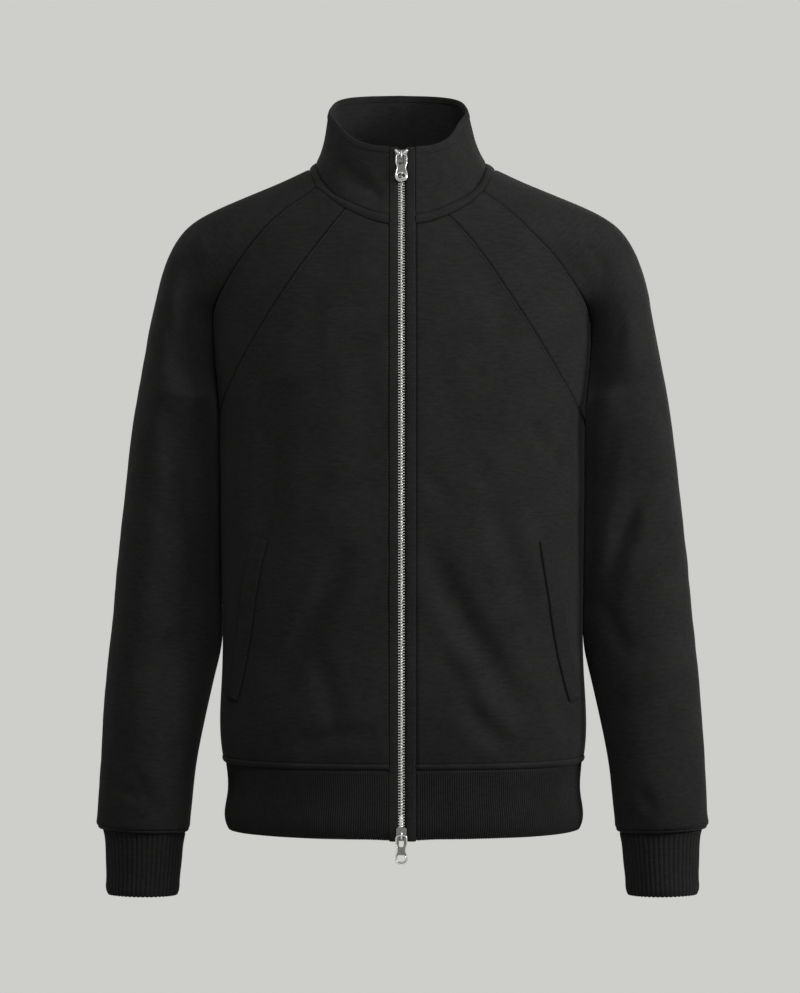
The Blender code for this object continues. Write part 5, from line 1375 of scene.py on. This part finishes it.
# front bands: a crowned strip folded at its inner and its outer edge, with a row of stitches
def makeBand(side, name):
    first, last = bandForm["inner"][name], bandForm["outer"]
    heights = np.linspace(zipForm["foot"], zipForm["head"], bandForm["rows"])
    across = np.array(bandForm["columns"])
    across = first + across / across[-1] * (last - first)
    dip = bandForm["dip"] * np.exp(-((last - across) / bandForm["dipReach"]) ** 2)
    crown = bandForm["crown"] * np.sin(math.pi * (across - first) / (last - first))
    profile = (crown - dip)[None, :]
    for spread, depth, size, seed in bandForm["waves"][name]:
        profile = profile + depth * ripple(
            across[None, :] * spread, heights[:, None] + 900, size, seed)
    for level, swell in bandForm["crossings"]:
        above = heights[:, None] - level
        below = (above + bandForm["grooveBelow"]) / bandForm["grooveReach"]
        profile = profile + swell * np.exp(-(above / bandForm["swellReach"]) ** 2) \
            - bandForm["groove"] * swell * np.exp(-below ** 2)
    outer, inner = zipStrip(heights, side * across, profile,
                            np.full_like(profile, -clothSize["band"]))
    normal = np.broadcast_to(zipFrame(heights)[2][:, None], outer.shape)
    sewLine(outer, normal, "lastColumn", "band", 2, -2)
    # painted shade in the dip beside the band's outer edge
    tone = paintedCreaseShade(np.broadcast_to(-dip, profile.shape), bandForm["dip"])
    outer, inner, tone = roundEdge(outer, inner, tone, "firstColumn", edgeTurns["fine"])
    for edge in ("firstRow", "lastRow"):
        outer, inner, tone = roundEdge(outer, inner, tone, edge)
    makePiece("frontBand" + name, "front_band_" + name.lower(), outer, inner, tone=tone)


# zip tape: a flat strip under the band, from the teeth outwards
def makeTape(side, name):
    columns = np.array(tapeForm["columns"])
    across = side * (tapeForm["inner"] + columns * (bandForm["outer"] - tapeForm["tuck"])
                     / columns[-1]) + zipForm["centre"] * np.linspace(1, 0, len(columns))
    heights = np.linspace(zipForm["foot"] + tapeForm["short"], zipForm["head"] - tapeForm["short"],
                          tapeForm["rows"])
    front = np.full((len(heights), len(across)), -tapeForm["depth"])
    outer, inner = zipStrip(heights, across, front, front - clothSize["tape"])
    makePiece("zipTape" + name, "zip_tape_" + name.lower(), outer, inner, "tape", "zip_tape")


for side, name in wornSides:
    makeBand(side, name)
    makeTape(side, name)
print("bands and tapes made")

toothProfile = {
    # distance from the middle (minus is past it), half height along the zip, front and back depth
    "stations": [(3.35, 0.38, -0.30, 1.9), (3.05, 0.50, 0.02, 2.1), (1.7, 0.50, 0.08, 2.1),
                 (0.95, 0.40, 0.00, 1.8), (0.25, 0.44, 0.02, 1.7), (-0.40, 0.62, 0.08, 1.8),
                 (-0.85, 0.44, -0.20, 1.4)],
    "bevel": 0.26, "bevelShare": 0.6, "sharp": 38.0,
}
octagonCap = np.array([[0, 7, 6, 1], [1, 6, 5, 2], [2, 5, 4, 3]])    # quads that close a ring of 8


# teeth: one eight-cornered bar through seven stations, set at each place along the zip
def makeTeeth():
    line = np.linspace(zipForm["sliderBottom"] - zipForm["teethStart"],
                       zipForm["sliderTop"] + zipForm["teethStart"], 800)
    run = lengthAlong(zipFrame(line)[0])
    across, half, front, back = np.array(toothProfile["stations"]).T
    b = np.minimum(toothProfile["bevel"], half * toothProfile["bevelShare"])
    along = np.stack([half - b, half, half, half - b, b - half, -half, -half, b - half], axis=1)
    out = np.stack([front, front - b, b - back, -back, -back, b - back, front - b, front], axis=1)
    ids = np.arange(along.size).reshape(along.shape)
    quads = np.concatenate([ringQuads(ids), octagonCap, octagonCap[:, ::-1] + ids[-1, 0]])
    blocks = []
    for side, start in ((-1.0, 0.0), (1.0, zipForm["pitch"] / 2)):
        spots = np.interp(np.arange(start, run[-1], zipForm["pitch"]), run, line)
        point, up, outward = zipFrame(spots)
        local = point[:, None, None] + stack(zipForm["centre"] + side * across[:, None], 0, 0) \
            + up[:, None, None] * along[..., None] + outward[:, None, None] * out[..., None]
        shift = (np.arange(len(spots)) * ids.size)[:, None, None]
        turned = quads if side < 0 else quads[:, ::-1]
        blocks.append((local.reshape(-1, 3), (turned[None] + shift).reshape(-1, 4)))
    teeth = makeJoined("zipTeeth", blocks)
    teeth.data.set_sharp_from_angle(angle=math.radians(toothProfile["sharp"]))
    print("teeth made:", sum(len(points) for points, _ in blocks) // ids.size)
    return dress(teeth, "teeth", ["zip_chain"])


makeTeeth()

metalShape = {
    "bevel": 0.22, "weld": 0.00002, "flat": 2.0, "sharp": 30.0,
    # distance along the pull from its hinge and half width: the rims of its edge and of its eye
    "pullEdge": [(-0.1, 2.8), (0.7, 4.4), (2.4, 5.2), (8.5, 5.2), (11.5, 4.1), (14.5, 3.85),
                 (17.0, 4.7), (19.6, 5.4), (23.6, 5.4), (26.0, 4.2), (27.0, 1.6)],
    "pullEye": [(18.7, 2.0), (19.6, 3.8), (22.2, 4.3), (24.3, 3.6), (25.3, 1.6)],
    "rim": 0.62, "pullFace": 0.5, "hingeAlong": 1.2, "hingeOut": 3.25,
    # the bent wire over a slider: distance along the zip and out of the cloth
    "crown": [(4.4, 1.2), (4.3, 3.4), (3.4, 4.7), (1.6, 5.1), (-0.4, 5.0), (-1.9, 4.3),
              (-2.7, 2.8), (-2.8, 1.2)],
    "crownWire": 0.82, "crownSteps": 26, "stopSteps": 12,
    "rimSteps": {"pullEdge": 130, "pullEye": 44},
    "wireEnds": (0.55, 0.9),    # how thin an open wire's last two rings are
    # the stops over the top slider: distance from the middle, height and distance out
    "stop": [(1.6, 9.6, 0.8), (3.0, 10.6, 1.1), (4.6, 12.2, 1.3), (6.2, 13.6, 1.1)],
    "stopWire": 1.45,
}


# a metal part from its solid: its mesh merged, its flat faces joined and its edges rounded
def makeMetalPart(name, node, body):
    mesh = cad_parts[node].data.copy()
    mesh.name = name
    thing = bpy.data.objects.new(name, mesh)
    bpy.context.scene.collection.objects.link(thing)
    work = bmesh.new()
    work.from_mesh(mesh)
    bmesh.ops.remove_doubles(work, verts=work.verts, dist=metalShape["weld"])
    bmesh.ops.dissolve_limit(work, angle_limit=math.radians(metalShape["flat"]),
                             verts=work.verts, edges=work.edges)
    work.to_mesh(mesh)
    work.free()
    rounding = thing.modifiers.new("rounded", "BEVEL")
    rounding.width = metalShape["bevel"] * mm
    rounding.segments = 2
    rounding.limit_method = "ANGLE"
    rounding.angle_limit = math.radians(metalShape["sharp"])
    mesh.shade_smooth()
    return dress(thing, "slider", [node], body)


# a line through points, cut into even steps and eased by averaging neighbours
def easeLine(points, count, closed, rounds=3):
    points = np.array(points, float)
    points = np.concatenate([points, points[:1]]) if closed else points
    run = lengthAlong(points)
    at = np.linspace(0, run[-1], count + 1)
    line = stack(*(np.interp(at, run, points[:, k]) for k in range(3)))
    line = line[:-1] if closed else line
    for _ in range(rounds):
        eased = (np.roll(line, 1, axis=0) + 2 * line + np.roll(line, -1, axis=0)) / 4
        if not closed:
            eased[[0, -1]] = line[[0, -1]]
        line = eased
    return line


# wire: an eight-sided ring carried along a line, with tapered and capped ends where it is open
def wireMesh(line, outward, radius, closed):
    tangent = np.roll(line, -1, axis=0) - np.roll(line, 1, axis=0) if closed \
        else np.gradient(line, axis=0)
    across = unit(np.cross(unit(tangent), outward))
    over = unit(np.cross(across, unit(tangent)))
    turn = np.linspace(0, 2 * math.pi, 9)[:-1]
    size = np.full(len(line), radius)
    if not closed:
        size[[0, -1]] *= metalShape["wireEnds"][0]
        size[[1, -2]] *= metalShape["wireEnds"][1]
    ring = line[:, None] + size[:, None, None] * (
        across[:, None] * np.cos(turn)[None, :, None] + over[:, None] * np.sin(turn)[None, :, None])
    ids = np.arange(ring.shape[0] * 8).reshape(-1, 8)
    quads = ringQuads(np.concatenate([ids, ids[:1]]) if closed else ids)
    if not closed:
        quads = np.concatenate([quads, octagonCap, octagonCap[:, ::-1] + ids[-1, 0]])
    return ring.reshape(-1, 3), quads


# a pull's raised rims: its edge and its eye, laid out flat from the hinge and turned to the zip
def pullRims(height, flip, hangs):
    point, up, out = (v[0] for v in zipFrame([height]))
    hinge = point + (zipForm["centre"], 0, 0) + up * flip * metalShape["hingeAlong"] \
        + out * metalShape["hingeOut"]
    if hangs:
        up, out = np.array((0.0, 0.0, 1.0)), np.array((0.0, -1.0, 0.0))
    wires = []
    for table, count in metalShape["rimSteps"].items():
        along, half = np.array(metalShape[table]).T
        across = np.concatenate([half, -half[::-1]])
        along = np.concatenate([along, along[::-1]])
        line = hinge + across[:, None] * (1, 0, 0) - along[:, None] * up \
            + out * metalShape["pullFace"]
        wires.append(wireMesh(easeLine(line, count, True), out, metalShape["rim"], True))
    return wires


# the bent wire of a slider, in the middle plane of the zip
def crownWire(height, flip):
    point, up, out = (v[0] for v in zipFrame([height]))
    along, lift = np.array(metalShape["crown"]).T
    line = point + (zipForm["centre"], 0, 0) + flip * along[:, None] * up + lift[:, None] * out
    return wireMesh(easeLine(line, metalShape["crownSteps"], False, 2), np.array((1.0, 0.0, 0.0)),
                    metalShape["crownWire"], False)


# the two stops that flare out above the top slider
def topStops():
    across, height, lift = np.array(metalShape["stop"]).T
    point, _, out = zipFrame(height)
    wires = []
    for side in (-1.0, 1.0):
        line = point + stack(zipForm["centre"] + side * across, 0, 0) + out * lift[:, None]
        wires.append(wireMesh(easeLine(line, metalShape["stopSteps"], False), out[0],
                              metalShape["stopWire"], False))
    return wires


for name, node, body in (("sliderTop", "slider_top", "root"), ("pullTop", "pull_top", "pull_top"),
                         ("sliderBottom", "slider_bottom", "root"),
                         ("pullBottom", "pull_bottom", "pull_bottom")):
    makeMetalPart(name, node, body)
for name, wires, body in (
        ("pullTopRims", pullRims(zipForm["sliderTop"], 1.0, False), "pull_top"),
        ("pullBottomRims", pullRims(zipForm["sliderBottom"], -1.0, True), "pull_bottom"),
        ("sliderWires", [crownWire(zipForm["sliderTop"], 1.0),
                         crownWire(zipForm["sliderBottom"], -1.0), *topStops()], "root")):
    dress(makeJoined(name, wires), "teeth", (), body)
print("sliders, pulls and stops made")

weltForm = {
    # distance from the middle and height along the welt's middle
    "line": [(0.0, 139.0, -366), (0.3333, 147.5, -420), (0.6667, 157.0, -474), (1.0, 167.0, -522)],
    "half": 8.5, "tilt": math.radians(16), "rows": 70, "columns": 17,
    # how far it stands off the panel, how much more its outer edge does, from which place across
    # and with what start along it and power of its half wave
    "lift": 0.5, "gape": 1.6, "gapeFrom": -0.6, "gapeStart": 0.02, "gapePower": 0.7,
    "waves": (0.15, 9.0, 121), "length": 165.0,
}


# welt: a strip of the panel's own surface moved out, its outer edge lifted like a half wave
def makeWelts():
    along = np.linspace(0, 1, weltForm["rows"])
    places = np.linspace(-1, 1, weltForm["columns"])
    across, level = readCurve(weltForm["line"], 1, along), readCurve(weltForm["line"], 2, along)
    middle = shareOfAcross(across, level)
    share = middle[:, None] + places[None, :] * weltForm["half"] * math.cos(weltForm["tilt"]) \
        / bodyForm["quarterGirth"]
    height = level[:, None] + places[None, :] * weltForm["half"] * math.sin(weltForm["tilt"])
    for side, name in wornSides:
        base = bodyPoint(side * share, height, "front")
        normal = bodyNormals(base)
        edge, start = weltForm["gapeFrom"], weltForm["gapeStart"]
        opened = np.clip((places[None, :] - edge) / (1 - edge), 0, 1) ** 2
        wave = np.sin(math.pi * np.clip(along[:, None] * (1 + 2 * start) - start, 0, 1))
        lift = weltForm["lift"] + weltForm["gape"] * opened * wave ** weltForm["gapePower"]
        depth, size, seed = weltForm["waves"]
        lift = lift + depth * ripple(along[:, None] * weltForm["length"],
                                     places[None, :] * 8 + 40, size, seed)
        inner = base + normal * lift[..., None]
        relief = seamRelief(base, "firstColumn", "welt", 123)
        outer = inner + normal * (clothSize["welt"] + relief)[..., None]
        for edge in ("firstColumn", "firstRow", "lastRow"):
            sewLine(outer, normal, edge, "welt", 2, -2)
        # painted shade in the dips of the welt's seam
        tone = paintedCreaseShade(relief)
        for edge in ("lastColumn", "firstRow", "lastRow"):
            outer, inner, tone = roundEdge(outer, inner, tone, edge)
        makePiece("welt" + name, "welt_" + name.lower(), outer, inner, tone=tone)
    print("pocket welts made")


makeWelts()

threadForm = {
    "radius": 0.26, "gap": 0.7,
    # along each stitch: place, height over the cloth and share of the radius
    "arch": [(0.0, -0.22, 0.6), (0.28, 0.16, 1.0), (0.72, 0.16, 1.0), (1.0, -0.22, 0.6)],
}


# a row of stitches: four-sided tubes that arch out of the cloth and sink back at their ends
def stitchRow(points, normals, pitch):
    run = lengthAlong(points)
    count = max(1, int(run[-1] / pitch))
    local, rise, thick = np.array(threadForm["arch"]).T
    starts = (np.arange(count) + 0.5 * (run[-1] / pitch - count)) * pitch
    at = starts[:, None] + threadForm["gap"] / 2 + local * (pitch - threadForm["gap"])
    centre = stack(*(np.interp(at, run, points[:, k]) for k in range(3)))
    outward = unit(stack(*(np.interp(at, run, normals[:, k]) for k in range(3))))
    centre = centre + outward * rise[None, :, None]
    side = unit(np.cross(unit(np.gradient(centre, axis=1)), outward))
    radius = threadForm["radius"] * thick[None, :, None]
    ring = np.stack([centre + side * radius, centre + outward * radius, centre - side * radius,
                     centre - outward * radius], axis=2)
    ids = np.arange(16).reshape(4, 4)
    quads = np.concatenate([ringQuads(ids, over=True), ids[:1], ids[3:, ::-1]])
    return ring.reshape(-1, 3), (quads[None] + 16 * np.arange(count)[:, None, None]).reshape(-1, 4)


sewing = makeJoined("topstitching", [stitchRow(*thread) for thread in threads])
dress(sewing, "thread")
print("stitches made:", len(sewing.data.vertices) // 16)

studio = {
    "backdrop": (0.617, 0.617, 0.600),
    "domeRadius": 6.0,        # lengths are in metres
    "floorHeight": -1.45, "floorRadius": 3.8, "floor": (0.62, 0.62, 0.605),
    "floorGlow": 0.35,
    "fill": (0.62, 0.62, 0.61), "fillStrength": 0.41,
    "mirrored": ("key", "rimLeft"),    # lights that show on metal
    # place, aimed at, size in metres, watts, spread in degrees
    "lights": {
        "key": ((2.55, -1.15, 0.55), (0.0, 0.0, -0.25), 0.9, 55.0, 180.0),
        "front": ((0.25, -1.7, 1.2), (0.05, -0.1, -0.12), 0.8, 2.6, 60.0),
        "rimLeft": ((-2.0, 1.3, 0.2), (-0.2, 0.0, -0.35), 1.2, 1.0, 180.0),
        "behind": ((0.6, 2.5, 0.75), (0.0, 0.1, -0.3), 1.4, 15.0, 120.0),
    },
}


studioTurns = np.linspace(0, 2 * math.pi, 65)[:-1]


# a round lamp at its place, turned to its target
def makeLight(name, place, target, size, watts, spread):
    data = bpy.data.lights.new(name, "AREA")
    data.shape = "DISK"
    data.size = size
    data.energy = watts
    data.spread = math.radians(spread)
    thing = bpy.data.objects.new(name, data)
    aim = np.array(target) - np.array(place)
    level = math.hypot(aim[0], aim[1])
    thing.location = place
    thing.rotation_euler = (math.pi / 2 + math.atan2(aim[2], level), 0,
                            math.atan2(aim[1], aim[0]) - math.pi / 2)
    thing.visible_glossy = name in studio["mirrored"]
    thing.visible_camera = False
    bpy.context.scene.collection.objects.link(thing)


# a surface of the studio from rings of points, in a material of its own
def makeSurround(name, points):
    ids = np.arange(points[..., 0].size).reshape(points.shape[:2])
    thing = makeMesh(name, points.reshape(-1, 3), ringQuads(ids, over=True))
    material, tree, shader = newMaterial(name)
    thing.data.materials.append(material)
    thing.visible_diffuse = False
    return thing, tree, shader


# a dome of rings up a half circle, seen from inside, that shines with the backdrop's colour
def makeDome():
    rise = np.radians(np.linspace(-89, 89, 33))[:, None]
    radius = studio["domeRadius"] * 1000
    dome, tree, _ = makeSurround("backdrop", stack(
        radius * np.cos(rise) * np.cos(studioTurns), radius * np.cos(rise) * np.sin(studioTurns),
        radius * np.sin(rise)))
    glow = addNode(tree, "ShaderNodeEmission", {"Color": (*studio["backdrop"], 1)})
    setInputs(tree, tree.nodes["Material Output"], {"Surface": glow})
    dome.visible_shadow = False


# a flat disc of rings
def makeFloor():
    radius = np.linspace(0.02, studio["floorRadius"], 9)[:, None] * 1000
    floor, tree, shader = makeSurround("floor", stack(
        radius * np.cos(studioTurns), radius * np.sin(studioTurns), studio["floorHeight"] * 1000))
    setInputs(tree, shader, {
        "Base Color": (*studio["floor"], 1), "Roughness": 0.9,
        "Emission Color": (*studio["backdrop"], 1), "Emission Strength": studio["floorGlow"]})


# the world's fill light, the backdrop, the floor and the lamps
def makeStudio():
    world = bpy.data.worlds.new("studio")
    world.use_nodes = True
    sky = world.node_tree.nodes["Background"]
    sky.inputs["Color"].default_value = (*studio["fill"], 1)
    sky.inputs["Strength"].default_value = studio["fillStrength"]
    bpy.context.scene.world = world
    makeDome()
    makeFloor()
    for name, values in studio["lights"].items():
        makeLight(name, *values)
    view = bpy.context.scene.view_settings
    view.view_transform = "Standard"
    view.look = "None"


makeStudio()
print("studio set")
